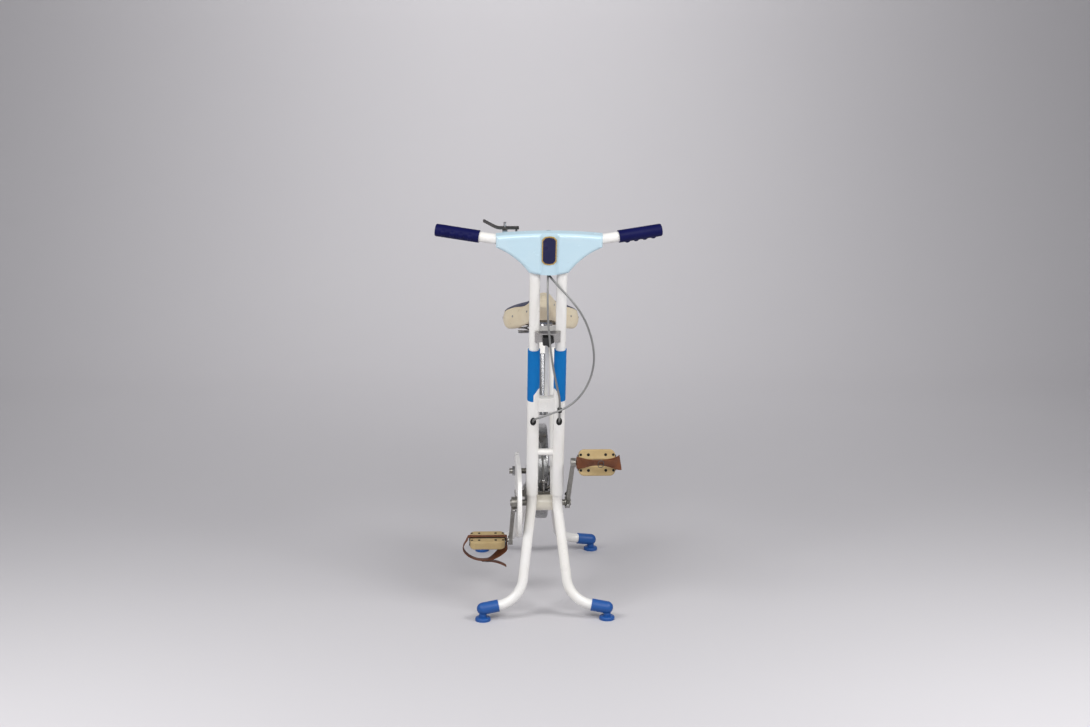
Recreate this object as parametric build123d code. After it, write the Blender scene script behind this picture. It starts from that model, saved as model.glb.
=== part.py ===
from build123d import *
import math
import os

os.makedirs("parts", exist_ok=True)

# Exercise bike with a telescoping twin-tube column, a chain-driven flywheel and a sprung saddle.
# Millimetres and degrees. +X is the rider's left, +Y is the rear, +Z is up and the floor is Z = 0.
# A point on the column is (across, behind, along), measured from the foot of the column.

# Clearances
slide_gap = 0.1
running_gap = 0.05
press_gap = 0.02
rest_gap = 0.3

# Bottom bracket
bracket_height = 279.0
bracket_y = -122.3
bracket_outer = 40.0
bracket_bore = 34.0
bracket_width = 68.0
cup_lip_outer = 38.0
cup_lip_width = 3.0
cup_depth = 12.0
spindle_diameter = 16.0

# Steering column
column_lean = 14.8
column_half_gap = 32.0
riser_outer = 25.4
tube_wall = 1.6
column_tube_outer = 30.0
column_tube_bottom = 46.0
column_tube_top = 313.0
shoulder_low = 331.0
shoulder_top = 346.0
shoulder_in = 21.0
sleeve_top = 449.0
riser_bottom = 330.0
bar_along = 732.0
bridge_bottom = 283.0
bridge_middle = 316.0
bridge_front = 9.0
brace_along = 166.0
brace_outer = 17.0
cable_hole_along = 259.0
cable_hole_diameter = 11.0
cable_hole_tilt = 45.0
clip_along = 294.0

# Column clamp
clamp_along = 489.0
clamp_height = 29.0
clamp_width = 61.0
clamp_plate_thickness = 3.0
clamp_flange_reach = 14.0
clamp_flange_tip = 5.0
stay_width = 8.0
stay_thickness = 3.0
clamp_boss_outer = 16.0
clamp_boss_length = 8.0
stud_diameter = 8.0
knob_radius = 10.5
knob_lobe_radius = 4.2
knob_lobes = 5
knob_length = 14.0
knob_standoff = 4.0
knob_drop = 5.0

# Handlebar and grips
bar_outer = 24.0
bar_bend_across = 122.0
bar_end_across = 261.5
bar_end_back = 24.0
bar_end_rise = 14.0
bar_bend_radius = 60.0
grip_outer = 29.5
grip_length = 104.0
grip_cap = 3.0
grip_bump_radius = 9.0
grip_bump_rise = 3.5
grip_bump_pitch = 21.0
grip_bumps = 4
left_grip_turn = 90.0
right_grip_turn = 180.0

# Cowl and dash, measured from the centre of the bar
cowl_half_width = 124.0
cowl_end_top = 13.6
cowl_end_bottom = -15.0
cowl_top = 20.0
cowl_foot_half_width = 47.0
cowl_foot = -78.0
cowl_lip = -85.0
cowl_waist_in = 5.5
cowl_waist_up = 4.5
cowl_front = 22.0
cowl_back = 5.0
cowl_wall = 2.4
cowl_round = 9.0
cowl_inner_round = 6.0
channel_half_width = 23.0
channel_depth = 6.0
channel_slope = 5.0
channel_round = 4.0
dash_half_width = 62.0
dash_top = 12.0
dash_bottom = -52.0
dash_back = 26.0
dash_round = 7.0

# Speedometer
dial_below_bar = 16.0
meter_outer = 46.0
meter_wall = 2.0
meter_front = 13.5
meter_back = 31.0
bezel_outer = 50.0
bezel_length = 5.0
lens_thickness = 1.5
dial_thickness = 1.2
dial_depth = 7.0
needle_length = 16.0
needle_tail = 5.0
needle_width = 2.2
needle_thickness = 1.0
needle_hub = 6.0
needle_rest_angle = -130.0
needle_pin = 2.0
cable_nipple_outer = 9.0
cable_nipple_length = 7.0

# Brake lever
lever_across = -103.0
lever_behind = 19.0
lever_band_width = 12.0
lever_band_wall = 1.5
lever_seat_height = 19.0
lever_post_diameter = 6.0
lever_post_top = 35.0
lever_width = 12.0
lever_thickness = 4.0
lever_inner_reach = 33.0
lever_tip_reach = 50.0
lever_tip_rise = 18.0
lever_bend_reach = 18.0
lever_bend_radius = 30.0
lever_eye_outer = 15.0
lever_tail_drop = 31.0
lever_tail_width = 15.0
lever_tail_thickness = 3.0
lever_tail_hole = 5.0

# Seat
seat_lean = 17.0
seat_half_gap = 29.0
seat_tube_outer = 25.4
seat_tube_below_head = 67.0
collar_below_head = 51.0
collar_length = 32.0
collar_slit = 3.0
collar_ear_thickness = 5.0
collar_ear_reach = 14.0
binder_diameter = 6.0
post_outer = 25.4
post_wall = 2.0
post_insert = 157.0
post_head_outer = 28.0
post_head_width = 30.0
clamp_bolt_diameter = 8.0
cheek_thickness = 10.0
rail_half_gap = 20.0
rail_diameter = 7.0

# Saddle: distances are behind its datum and heights of the stations are above the pan's ceiling
pan_ceiling = 750.5
head_below_pan = 26.8
head_behind = 136.0
saddle_stations = (
    (10.0, 13.0, 30.0, 56.0),
    (40.0, 24.0, 14.0, 63.0),
    (95.0, 38.0, -18.0, 50.0),
    (160.0, 74.0, -45.0, 29.0),
    (215.0, 100.0, -57.0, 16.0),
    (255.0, 88.0, -53.5, 11.5),
    (276.0, 58.0, -36.0, -3.0),
)
saddle_side_draw = 0.9
saddle_shoulder = 0.74
saddle_belly = 0.4
pan_thickness = 2.5
pan_front = 94.0
pan_middle = 205.0
pan_rear = 246.0
pan_front_half_width = 24.0
pan_middle_half_width = 68.0
pan_rear_half_width = 56.0
rail_front = 98.0
rail_front_half_gap = 14.0
spring_half_gap = 46.0
spring_behind = 214.0
spring_radius = 14.0
spring_wire = 4.0
spring_turns = 5
spring_drop = 62.5
rail_plate_thickness = 4.0
rail_plate_depth = 30.0

# Legs and feet
leg_outer = 25.4
leg_spigot = 92.0
leg_bend_along = 20.0
leg_bend_radius = 60.0
leg_knee_across = 62.0
leg_knee_height = 46.0
leg_knee_radius = 76.0
front_foot_ahead = 97.0
front_knee_ahead = 87.0
rear_leg_across = 34.0
rear_leg_start_height = 274.0
rear_leg_bend_behind = 213.5
rear_leg_bend_height = 266.0
rear_leg_bend_radius = 80.0
rear_knee_behind = 447.0
rear_foot_behind = 468.0
foot_across = 157.0
foot_socket_height = 30.5
foot_cap_outer = 31.0
foot_cap_length = 40.0
foot_neck_diameter = 19.0
foot_base_diameter = 39.0
foot_base_height = 9.0

# Chain drive
chain_pitch = 12.7
chainwheel_teeth = 40
sprocket_teeth = 20
chain_links = 62
chain_across = -62.0
tooth_thickness = 3.0
roller_diameter = 7.75
roller_play = 0.15
tooth_tip_width = 2.6
tooth_rise = 3.4
plate_thickness = 1.5
plate_play = 0.25
plate_wide = 8.4
plate_narrow = 6.2
axle_above_leg = 43.4
sprocket_hub_outer = 30.0
sprocket_hub_length = 8.0
chainwheel_hole_radius = 14.0
chainwheel_hole_circle = 48.0
chainwheel_holes = 5

# Chain guard
guard_outer_face = -69.0
guard_inner_edge = -58.0
guard_wall = 1.6
guard_front_radius = 89.0
guard_rear_radius = 50.0
guard_crank_hole = 46.0
guard_shaft_hole = 30.0
guard_stud_diameter = 9.0
guard_stud_places = (102.0, 138.0)

# Cranks
crank_length = 150.0
crank_angle = 33.0
crank_hub_outer = 30.0
crank_eye_outer = 24.0
crank_thickness = 12.0
left_crank_across = 60.0
left_eye_across = 69.0
right_crank_across = -77.0
right_eye_across = -84.0
crank_boss_outer = 34.0
crank_boss_flange = 44.0
crank_boss_flange_width = 2.0
crank_root_width = 23.0
crank_tip_width = 17.0
cotter_diameter = 9.0
cotter_length = 36.0
cotter_offset = 9.5
pedal_axle_diameter = 10.0
pedal_thread_diameter = 14.0

# Pedals
left_pedal_across = 128.0
right_pedal_across = -144.0
left_pedal_angle = 76.0
right_pedal_angle = 190.0
pedal_length = 96.0
pedal_plate_thickness = 2.5
pedal_depth = 66.0
pedal_plate_depth = 40.0
pedal_barrel_outer = 13.4
block_depth = 26.0
block_height = 22.0
block_round = 4.0
block_corner = 14.0
strap_width = 24.0
strap_thickness = 2.4
strap_side = 51.0
strap_shoulder = 52.3
strap_bulge = 62.0
strap_crown = 52.0
strap_crown_half_width = 26.0
strap_corner = 12.0
strap_foot_corner = 3.0

# Flywheel
flywheel_radius = 126.5
flywheel_width = 32.0
flywheel_rim = 30.0
flywheel_web = 10.0
flywheel_hub_outer = 46.0
flywheel_round = 6.0
shaft_diameter = 15.0
shaft_collar_outer = 26.0
shaft_right_end = -84.0
shaft_left_end = 50.0
bearing_inner = 29.0
bearing_thickness = 10.0
bearing_radius = 19.0
bearing_base = 52.0
nut_across_corners = 26.0
nut_thickness = 8.0

# Brake at the flywheel
brake_bridge_behind = 30.0
brake_bridge_depth = 8.0
brake_pivot_rise = 18.0
brake_pivot_diameter = 8.0
brake_arm_behind = 47.0
brake_arm_thickness = 5.0
brake_arm_gap = 0.4
brake_arm_width = 9.0
brake_boss_outer = 17.0
brake_pad_rise = 27.0
brake_bar_across = 25.0
brake_bar_width = 6.0
brake_bar_height = 12.0
brake_pad_gap = 1.5
brake_pad_length = 34.0
brake_pad_depth = 16.0
brake_pad_behind = 74.0
stop_stem_diameter = 7.0
stop_bulb_diameter = 13.0
stop_bulb_rise = 36.0

# Cables
cable_diameter = 5.0
grommet_lip = 2.0
grommet_wall = 1.8
cable_play = 1.9
clip_wall = 3.2

# Worked-out values
BASE = (Align.CENTER, Align.CENTER, Align.MIN)
sides = {"left": 1, "right": -1}
column_ahead = (bracket_outer + leg_outer) / 2 + press_gap
lean = math.radians(column_lean)
recline = math.radians(seat_lean)
bracket = Vector(0, bracket_y, bracket_height)
column = Plane(
    origin=bracket - Vector(0, math.cos(lean), math.sin(lean)) * column_ahead,
    x_dir=(1, 0, 0),
    z_dir=(0, -math.sin(lean), math.cos(lean)),
)
seat_line = Plane(origin=bracket, x_dir=(1, 0, 0), z_dir=(0, math.sin(recline), math.cos(recline)))
column_bore = riser_outer + 2 * slide_gap
post_head_along = (pan_ceiling - head_below_pan - bracket_height) / math.cos(recline)
head_centre = seat_line.from_local_coords(Vector(0, 0, post_head_along))
seat_tube_top = post_head_along - seat_tube_below_head
collar_top = post_head_along - collar_below_head
collar_bottom = collar_top - collar_length
post_bottom = collar_bottom - post_insert
saddle_datum = head_centre.Y - head_behind
spring_foot = pan_ceiling - spring_drop


def pitch_radius(teeth):
    return teeth * chain_pitch / (2 * math.pi)


front_radius = pitch_radius(chainwheel_teeth)
rear_radius = pitch_radius(sprocket_teeth)


def loop_length(centres):
    step = front_radius - rear_radius
    straight = 2 * math.sqrt(centres**2 - step**2)
    return straight + math.pi * (front_radius + rear_radius) + 2 * step * math.asin(step / centres)


def chain_centres():
    low = front_radius
    high = chain_links * chain_pitch
    for _ in range(60):
        middle = (low + high) / 2
        if loop_length(middle) > chain_links * chain_pitch:
            high = middle
        else:
            low = middle
    return low


centres = chain_centres()


def rear_leg_height(y):
    share = (y - bracket_y) / rear_leg_bend_behind
    return rear_leg_start_height + share * (rear_leg_bend_height - rear_leg_start_height)


def shaft_place():
    """Distance behind and above the bracket, found in steps because the legs slope."""
    rise = 0.0
    for _ in range(30):
        back = math.sqrt(centres**2 - rise**2)
        rise = rear_leg_height(bracket_y + back) + axle_above_leg - bracket_height
    return back, rise


shaft_back, axle_rise = shaft_place()
shaft_at = bracket + Vector(0, shaft_back, axle_rise)
chain_line = Plane(
    origin=(chain_across, bracket_y, bracket_height),
    x_dir=(0, shaft_back, axle_rise),
    z_dir=(1, 0, 0),
)


# Shared shapes
def on_column(across, behind, along):
    return column.from_local_coords(Vector(across, behind, along))


def rod(start, end, diameter):
    start = Vector(start)
    along = Vector(end) - start
    return Plane(origin=start, z_dir=along) * Cylinder(diameter / 2, along.length, align=BASE)


def cross_rod(centre, left, right, diameter):
    return rod((left, centre.Y, centre.Z), (right, centre.Y, centre.Z), diameter)


def column_rod(across, behind, bottom, top, diameter):
    return rod(on_column(across, behind, bottom), on_column(across, behind, top), diameter)


def seat_rod(across, bottom, top, diameter):
    start = seat_line.from_local_coords(Vector(across, 0, bottom))
    end = seat_line.from_local_coords(Vector(across, 0, top))
    return rod(start, end, diameter)


def block(left, right, front, back, bottom, top):
    corner = Pos((left + right) / 2, (front + back) / 2, bottom)
    return corner * Box(right - left, back - front, top - bottom, align=BASE)


def bent_tube(points, radii, outer, bore):
    path = FilletPolyline(*points, radius=radii)
    section = Plane(origin=path @ 0, z_dir=path % 0)
    tube = sweep(section * Circle(outer / 2), path=path)
    return tube - sweep(section * Circle(bore / 2), path=path)


# Lower column
def entry_point(side, distance):
    """Point on the sloping line where a cable enters a column tube, measured from the tube's front."""
    tilt = math.radians(cable_hole_tilt)
    behind = -column_tube_outer / 2 + distance * math.sin(tilt)
    return on_column(side * column_half_gap, behind, cable_hole_along - distance * math.cos(tilt))


def shoulder_block(side):
    outline = Polyline(
        (0, column_tube_bottom),
        (side * 2 * column_half_gap, column_tube_bottom),
        (side * 2 * column_half_gap, column_tube_top),
        (side * column_half_gap, column_tube_top),
        (side * column_half_gap, shoulder_low),
        (side * shoulder_in, shoulder_top),
        (0, shoulder_top),
        close=True,
    )
    return column * extrude(Plane.XZ * make_face(outline), amount=column_tube_outer, both=True)


def column_tube(side):
    across = side * column_half_gap
    tube = column_rod(across, 0, column_tube_bottom, shoulder_top, column_tube_outer)
    tube = tube & shoulder_block(side)
    tube = tube - column_rod(across, 0, column_tube_bottom, shoulder_top, column_bore)
    through = 2 * column_tube_outer if side == sides["right"] else column_tube_outer / 2
    return tube - rod(entry_point(side, -column_tube_outer), entry_point(side, through), cable_hole_diameter)


def column_sleeve(side):
    across = side * column_half_gap
    sleeve = column_rod(across, 0, column_tube_top, sleeve_top, column_tube_outer)
    sleeve = sleeve - column_rod(across, 0, column_tube_top, sleeve_top, column_bore)
    return sleeve - shoulder_block(side)


def cut_by_column(shape):
    for side in sides.values():
        across = side * column_half_gap
        shape = shape - column_rod(across, 0, 0, sleeve_top, column_tube_outer)
    return shape


def column_bridge():
    reach = column_half_gap
    bell = ThreePointArc((reach, shoulder_low), (0, bridge_middle), (-reach, shoulder_low))
    base = Polyline(
        (-reach, shoulder_low), (-reach, bridge_bottom), (reach, bridge_bottom), (reach, shoulder_low)
    )
    depth = bridge_front + column_bore / 2 + rest_gap
    plate = extrude(Plane.XZ * make_face([bell, base]), amount=-depth)
    return cut_by_column(column * (Pos(0, -bridge_front, 0) * plate))


def column_brace():
    start = on_column(-column_half_gap, 0, brace_along)
    end = on_column(column_half_gap, 0, brace_along)
    return cut_by_column(rod(start, end, brace_outer))


# Column clamp
stay_front = column_bore / 2 + rest_gap
knob_along = clamp_along - knob_drop


def clamp_stay():
    back = stay_front + stay_thickness
    half = clamp_height / 2
    strip = block(-stay_width / 2, stay_width / 2, stay_front, back, bridge_bottom, clamp_along)
    head = block(-clamp_width / 2, clamp_width / 2, stay_front, back, clamp_along - half, clamp_along + half)
    stay = column * (strip + head)
    boss_end = on_column(0, back + clamp_boss_length, knob_along)
    stay = stay + rod(on_column(0, back, knob_along), boss_end, clamp_boss_outer)
    return stay - clamp_bore(running_gap)


def clamp_bore(gap):
    reach = stay_front + stay_thickness + clamp_boss_length
    return rod(on_column(0, -reach, knob_along), on_column(0, reach, knob_along), stud_diameter + 2 * gap)


def clamp_plate():
    back = -riser_outer / 2 - rest_gap
    front = back - clamp_plate_thickness
    half = clamp_height / 2
    half_width = clamp_width / 2
    face = block(-half_width, half_width, front, back, clamp_along - half, clamp_along + half)
    flange = Polyline(
        (-half_width, back),
        (-half_width, front - clamp_flange_tip),
        (-half_width / 2, front - clamp_flange_reach),
        (half_width / 2, front - clamp_flange_reach),
        (half_width, front - clamp_flange_tip),
        (half_width, back),
        close=True,
    )
    lip = Pos(0, 0, clamp_along + half) * extrude(make_face(flange), amount=-clamp_plate_thickness)
    return column * (face + lip) - clamp_bore(rest_gap)


def clamp_knob():
    back = -riser_outer / 2 - 2 * rest_gap - clamp_plate_thickness
    outline = Circle(knob_radius)
    for lobe in PolarLocations(knob_radius, knob_lobes):
        outline += lobe * Circle(knob_lobe_radius)
    start = on_column(0, back - knob_standoff, knob_along)
    knob = Plane(origin=start, x_dir=(1, 0, 0), z_dir=-column.y_dir) * extrude(outline, amount=knob_length)
    collar = rod(on_column(0, back, knob_along), start, clamp_boss_outer)
    stud_end = stay_front + stay_thickness + clamp_boss_length
    stud = rod(start, on_column(0, stud_end, knob_along), stud_diameter)
    return knob + collar + stud


# Handlebar
def bar_points():
    return [
        on_column(-bar_end_across, bar_end_back, bar_along + bar_end_rise),
        on_column(-bar_bend_across, 0, bar_along),
        on_column(bar_bend_across, 0, bar_along),
        on_column(bar_end_across, bar_end_back, bar_along + bar_end_rise),
    ]


def handlebar():
    return bent_tube(bar_points(), bar_bend_radius, bar_outer, bar_outer - 2 * tube_wall)


def riser_tube(side):
    across = side * column_half_gap
    tube = column_rod(across, 0, riser_bottom, bar_along, riser_outer)
    tube = tube - column_rod(across, 0, riser_bottom, bar_along, riser_outer - 2 * tube_wall)
    start = on_column(-cowl_half_width, 0, bar_along)
    end = on_column(cowl_half_width, 0, bar_along)
    return tube - rod(start, end, bar_outer)


def grip(side, bump_turn):
    points = bar_points()
    end = points[-1] if side > 0 else points[0]
    bend = points[2] if side > 0 else points[1]
    outward = (end - bend).normalized()
    frame = Plane(origin=end + outward * grip_cap, x_dir=column.y_dir, z_dir=outward * -1)
    length = grip_length
    body = Cylinder(grip_outer / 2, length, align=BASE)
    body = fillet(body.edges().sort_by(Axis.Z)[0], grip_cap)
    centre_out = grip_outer / 2 + grip_bump_rise - grip_bump_radius
    for index in range(grip_bumps):
        along = length / 2 + (index - (grip_bumps - 1) / 2) * grip_bump_pitch
        body = body + Rot(0, 0, bump_turn) * Pos(centre_out, 0, along) * Sphere(grip_bump_radius)
    return frame * body - rod(bend, end, bar_outer + 2 * press_gap)


# Cowl
def cowl_outline(inset):
    half = cowl_half_width - inset
    foot_half = cowl_foot_half_width - inset
    top = cowl_top - inset
    end_top = cowl_end_top - inset
    end_bottom = cowl_end_bottom + inset
    foot = cowl_foot + inset
    lip = cowl_lip + inset
    waist = ((half + foot_half) / 2 - cowl_waist_in, (end_bottom + foot) / 2 + cowl_waist_up)
    edges = [
        ThreePointArc((-half, end_top), (0, top), (half, end_top)),
        Line((half, end_top), (half, end_bottom)),
        ThreePointArc((half, end_bottom), waist, (foot_half, foot)),
        ThreePointArc((foot_half, foot), (0, lip), (-foot_half, foot)),
        ThreePointArc((-foot_half, foot), (-waist[0], waist[1]), (-half, end_bottom)),
        Line((-half, end_bottom), (-half, end_top)),
    ]
    return make_face(edges)


def cowl_form(inset, round_radius):
    depth = cowl_front + cowl_back - inset
    form = extrude(Plane.XZ * cowl_outline(inset), amount=depth)
    front_edges = form.faces().sort_by(Axis.Y)[0].edges()
    form = Pos(0, cowl_back, 0) * fillet(front_edges, round_radius)
    floor = -cowl_front + inset + channel_depth
    mouth = -cowl_front + inset
    half = channel_half_width + inset
    groove = Polyline(
        (-half, mouth),
        (-half + channel_slope, floor),
        (half - channel_slope, floor),
        (half, mouth),
        close=True,
    )
    tall = cowl_top - cowl_lip
    return form - extrude(make_face(groove), amount=tall, both=True)


def cowl_outside():
    form = cowl_form(0, cowl_round)
    uprights = form.edges().filter_by(Axis.Z)
    return fillet([edge for edge in uprights if edge.center().Y < rest_gap - cowl_front], channel_round)


def cowl():
    shell = cowl_outside() - cowl_form(cowl_wall, cowl_inner_round)
    shell = column * (Pos(0, 0, bar_along) * shell)
    for side in sides.values():
        across = side * column_half_gap
        shell = shell - column_rod(across, 0, riser_bottom, bar_along, riser_outer + 2 * rest_gap)
    mouth_top = cowl_foot + cowl_wall
    mouth = block(-column_half_gap, column_half_gap, -channel_depth, cowl_back, cowl_lip, mouth_top)
    shell = shell - column * (Pos(0, 0, bar_along) * mouth)
    points = bar_points()
    path = FilletPolyline(*points, radius=bar_bend_radius)
    section = Plane(origin=path @ 0, z_dir=path % 0) * Circle(bar_outer / 2 + rest_gap)
    return shell - sweep(section, path=path) - lever_band(rest_gap)


def dash():
    tall = dash_top - dash_bottom
    depth = dash_back - cowl_back
    middle = (dash_top + dash_bottom) / 2
    outer = Pos(0, cowl_back, middle) * Box(
        2 * dash_half_width, depth, tall, align=(Align.CENTER, Align.MIN, Align.CENTER)
    )
    upright = outer.edges().filter_by(Axis.Y)
    outer = fillet(upright, dash_round)
    outer = fillet(outer.faces().sort_by(Axis.Y)[-1].edges(), dash_round / 2)
    hollow = Pos(0, cowl_back, middle - cowl_wall) * Box(
        2 * (dash_half_width - cowl_wall),
        depth - cowl_wall,
        tall,
        align=(Align.CENTER, Align.MIN, Align.CENTER),
    )
    shell = column * (Pos(0, 0, bar_along) * (outer - hollow))
    shell = shell - rod(bar_points()[1], bar_points()[2], bar_outer + 2 * rest_gap)
    return shell - meter_rod(meter_front, meter_back, meter_outer + 2 * rest_gap)


# Speedometer
meter_along = bar_along - dial_below_bar


def meter_rod(front, back, diameter):
    return rod(on_column(0, front, meter_along), on_column(0, back, meter_along), diameter)


def meter_ring(front, back, outer, bore):
    return meter_rod(front, back, outer) - meter_rod(front, back, bore)


dial_front = meter_back - dial_depth
lens_front = meter_back + press_gap
nipple_behind = (meter_front + dial_front) / 2
nipple_end = meter_along - meter_outer / 2 - cable_nipple_length


def speedometer_case():
    bore = meter_outer - 2 * meter_wall
    cup = meter_rod(meter_front, meter_back, meter_outer)
    cup = cup - meter_rod(dial_front - dial_thickness, meter_back, bore)
    rim = meter_along - meter_outer / 2
    nipple = column_rod(0, nipple_behind, nipple_end, rim + meter_wall, cable_nipple_outer)
    return cup + nipple - column_rod(0, nipple_behind, nipple_end, rim, cable_diameter + 2 * press_gap)


def speedometer_dial():
    bore = meter_outer - 2 * meter_wall - 2 * press_gap
    disc = meter_rod(dial_front - dial_thickness, dial_front, bore)
    pin = meter_rod(dial_front, dial_front + 3 * needle_thickness, needle_pin)
    return disc + pin


def speedometer_needle():
    front = dial_front + needle_thickness
    pointer = Polyline(
        (-needle_width / 2, -needle_tail),
        (needle_width / 2, -needle_tail),
        (needle_width / 6, needle_length),
        (-needle_width / 6, needle_length),
        close=True,
    )
    blade = extrude(make_face(pointer), amount=needle_thickness)
    hub = Cylinder(needle_hub / 2, needle_thickness, align=BASE)
    bore = Cylinder(needle_pin / 2 + running_gap, needle_thickness, align=BASE)
    face = Plane(origin=on_column(0, front, meter_along), x_dir=(-1, 0, 0), z_dir=column.y_dir)
    return face * (Rot(0, 0, -needle_rest_angle) * (blade + hub - bore))


def speedometer_bezel():
    ring = meter_ring(meter_back, meter_back + bezel_length, bezel_outer, meter_outer - 4 * meter_wall)
    seat = meter_rod(meter_back, lens_front + lens_thickness, meter_outer - 2 * meter_wall)
    return ring - seat


def speedometer_lens():
    return meter_rod(lens_front, lens_front + lens_thickness, meter_outer - 2 * meter_wall - 2 * press_gap)


# Brake lever
def lever_band(gap):
    half = lever_band_width / 2 + gap
    start = on_column(lever_across - half, 0, bar_along)
    end = on_column(lever_across + half, 0, bar_along)
    return rod(start, end, bar_outer + 2 * lever_band_wall + 2 * gap)


def lever_clamp():
    half = lever_band_width / 2
    left = lever_across - half
    right = lever_across + half
    band = lever_band(0)
    seat = block(left, right, cowl_back + rest_gap, lever_behind + half, bar_outer / 4, lever_seat_height)
    tail_front = cowl_back + 2 * rest_gap
    tail = Pos(lever_across, tail_front, -lever_tail_drop + lever_tail_width / 2) * extrude(
        Plane.XZ * Circle(lever_tail_width / 2), amount=-lever_tail_thickness
    )
    stem = block(left, right, tail_front, tail_front + lever_tail_thickness, -lever_tail_drop / 1.5, 0)
    eye = Pos(lever_across, tail_front, -lever_tail_drop + lever_tail_width / 2) * extrude(
        Plane.XZ * Circle(lever_tail_hole), amount=-lever_tail_thickness
    )
    plate = column * (Pos(0, 0, bar_along) * (seat + tail + stem - eye))
    post = column_rod(
        lever_across, lever_behind, bar_along + bar_outer / 4, bar_along + lever_post_top, lever_post_diameter
    )
    points = bar_points()
    bore = rod(points[1], points[2], bar_outer + 2 * press_gap)
    return band + plate + post - bore


def brake_lever():
    rest = lever_seat_height + rest_gap + lever_thickness / 2
    path = FilletPolyline(
        (lever_inner_reach, 0, rest),
        (-lever_bend_reach, 0, rest),
        (-lever_tip_reach, 0, rest + lever_tip_rise),
        radius=lever_bend_radius,
    )
    section = Plane(origin=path @ 0, x_dir=(0, 1, 0), z_dir=path % 0)
    blade = sweep(section * Rectangle(lever_width, lever_thickness), path=path)
    eye = Pos(0, 0, rest) * Cylinder(lever_eye_outer / 2, lever_thickness)
    bore = Pos(0, 0, rest) * Cylinder(lever_post_diameter / 2 + running_gap, 2 * lever_thickness)
    return column * (Pos(lever_across, lever_behind, bar_along) * (blade + eye - bore))


# Seat column
def bracket_cylinder(diameter):
    return cross_rod(bracket, -bracket_width / 2, bracket_width / 2, diameter)


def bracket_shell():
    return bracket_cylinder(bracket_outer) - bracket_cylinder(bracket_bore)


def bracket_cup(side):
    edge = side * bracket_width / 2
    body = cross_rod(bracket, edge - side * cup_depth, edge, bracket_bore - 2 * press_gap)
    lip = cross_rod(bracket, edge, edge + side * cup_lip_width, cup_lip_outer)
    return body + lip - cross_rod(bracket, -bracket_width, bracket_width, spindle_diameter + 2 * running_gap)


def seat_tube(side):
    across = side * seat_half_gap
    tube = seat_rod(across, 0, seat_tube_top, seat_tube_outer)
    tube = tube - seat_rod(across, 0, seat_tube_top - tube_wall, seat_tube_outer - 2 * tube_wall)
    return tube - cross_rod(bracket, -bracket_width, bracket_width, bracket_outer)


collar_outer = 2 * seat_half_gap - seat_tube_outer - 2 * press_gap
ear_centre = collar_outer / 2 + collar_ear_reach / 2


def seat_collar():
    ring = Pos(0, 0, collar_bottom) * Cylinder(collar_outer / 2, collar_top - collar_bottom, align=BASE)
    ear_half = collar_slit / 2 + collar_ear_thickness
    reach = collar_outer / 2 + collar_ear_reach
    ears = block(-ear_half, ear_half, collar_outer / 4, reach, collar_bottom, collar_top)
    slit = block(-collar_slit / 2, collar_slit / 2, 0, reach, collar_bottom, collar_top)
    bore = Pos(0, 0, collar_bottom) * Cylinder(
        post_outer / 2 + slide_gap, collar_top - collar_bottom, align=BASE
    )
    return seat_line * (ring + ears - slit - bore) - binder_rod(2 * ear_half, binder_diameter)


def binder_rod(length, diameter):
    middle = (collar_bottom + collar_top) / 2
    start = seat_line.from_local_coords(Vector(-length / 2, ear_centre, middle))
    end = seat_line.from_local_coords(Vector(length / 2, ear_centre, middle))
    return rod(start, end, diameter)


def binder_bolt():
    ear_half = collar_slit / 2 + collar_ear_thickness
    head = binder_diameter * 0.7
    bolt = binder_rod(2 * (ear_half + head), binder_diameter - 2 * press_gap)
    ends = binder_rod(2 * (ear_half + head), 1.8 * binder_diameter)
    ends = ends - binder_rod(2 * ear_half, 2 * binder_diameter)
    return bolt + ends


def seat_post():
    post = seat_rod(0, post_bottom, post_head_along, post_outer)
    hollow_top = post_head_along - post_head_outer
    post = post - seat_rod(0, post_bottom, hollow_top, post_outer - 2 * post_wall)
    head = cross_rod(head_centre, -post_head_width / 2, post_head_width / 2, post_head_outer)
    bore = cross_rod(head_centre, -post_head_width, post_head_width, clamp_bolt_diameter + 2 * running_gap)
    return post + head - bore


# Saddle
def rail_points(side):
    across = side * rail_half_gap
    plate_y = saddle_datum + spring_behind
    plate_under = spring_foot - rail_plate_thickness - rail_diameter / 4
    pan_under = pan_ceiling - pan_thickness - rail_diameter / 2 - press_gap
    return [
        Vector(across, plate_y, plate_under),
        Vector(across, plate_y - rail_plate_depth, plate_under),
        Vector(across, head_centre.Y + post_head_outer / 2, head_centre.Z),
        Vector(across, head_centre.Y - post_head_outer / 2, pan_under),
        Vector(side * rail_front_half_gap, saddle_datum + rail_front, pan_under),
    ]


def rail(side):
    points = rail_points(side)
    path = FilletPolyline(*points, radius=2 * rail_diameter)
    section = Plane(origin=path @ 0, z_dir=path % 0)
    return sweep(section * Circle(rail_diameter / 2), path=path)


def saddle_frame():
    middle = saddle_datum + spring_behind
    plate = block(
        -spring_half_gap - spring_radius,
        spring_half_gap + spring_radius,
        middle - rail_plate_depth / 2,
        middle + rail_plate_depth / 2,
        spring_foot - rail_plate_thickness,
        spring_foot,
    )
    frame = plate
    for side in sides.values():
        frame = frame + rail(side)
    return frame


def saddle_clamp():
    half = post_head_width / 2 + rest_gap
    bolt = cross_rod(
        head_centre, -half - cheek_thickness, half + cheek_thickness, clamp_bolt_diameter
    )
    clamp = bolt
    for side in sides.values():
        cheek = cross_rod(head_centre, side * half, side * (half + cheek_thickness), post_head_outer)
        clamp = clamp + cheek
    for side in sides.values():
        clamp = clamp - rail(side)
    return clamp


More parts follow.
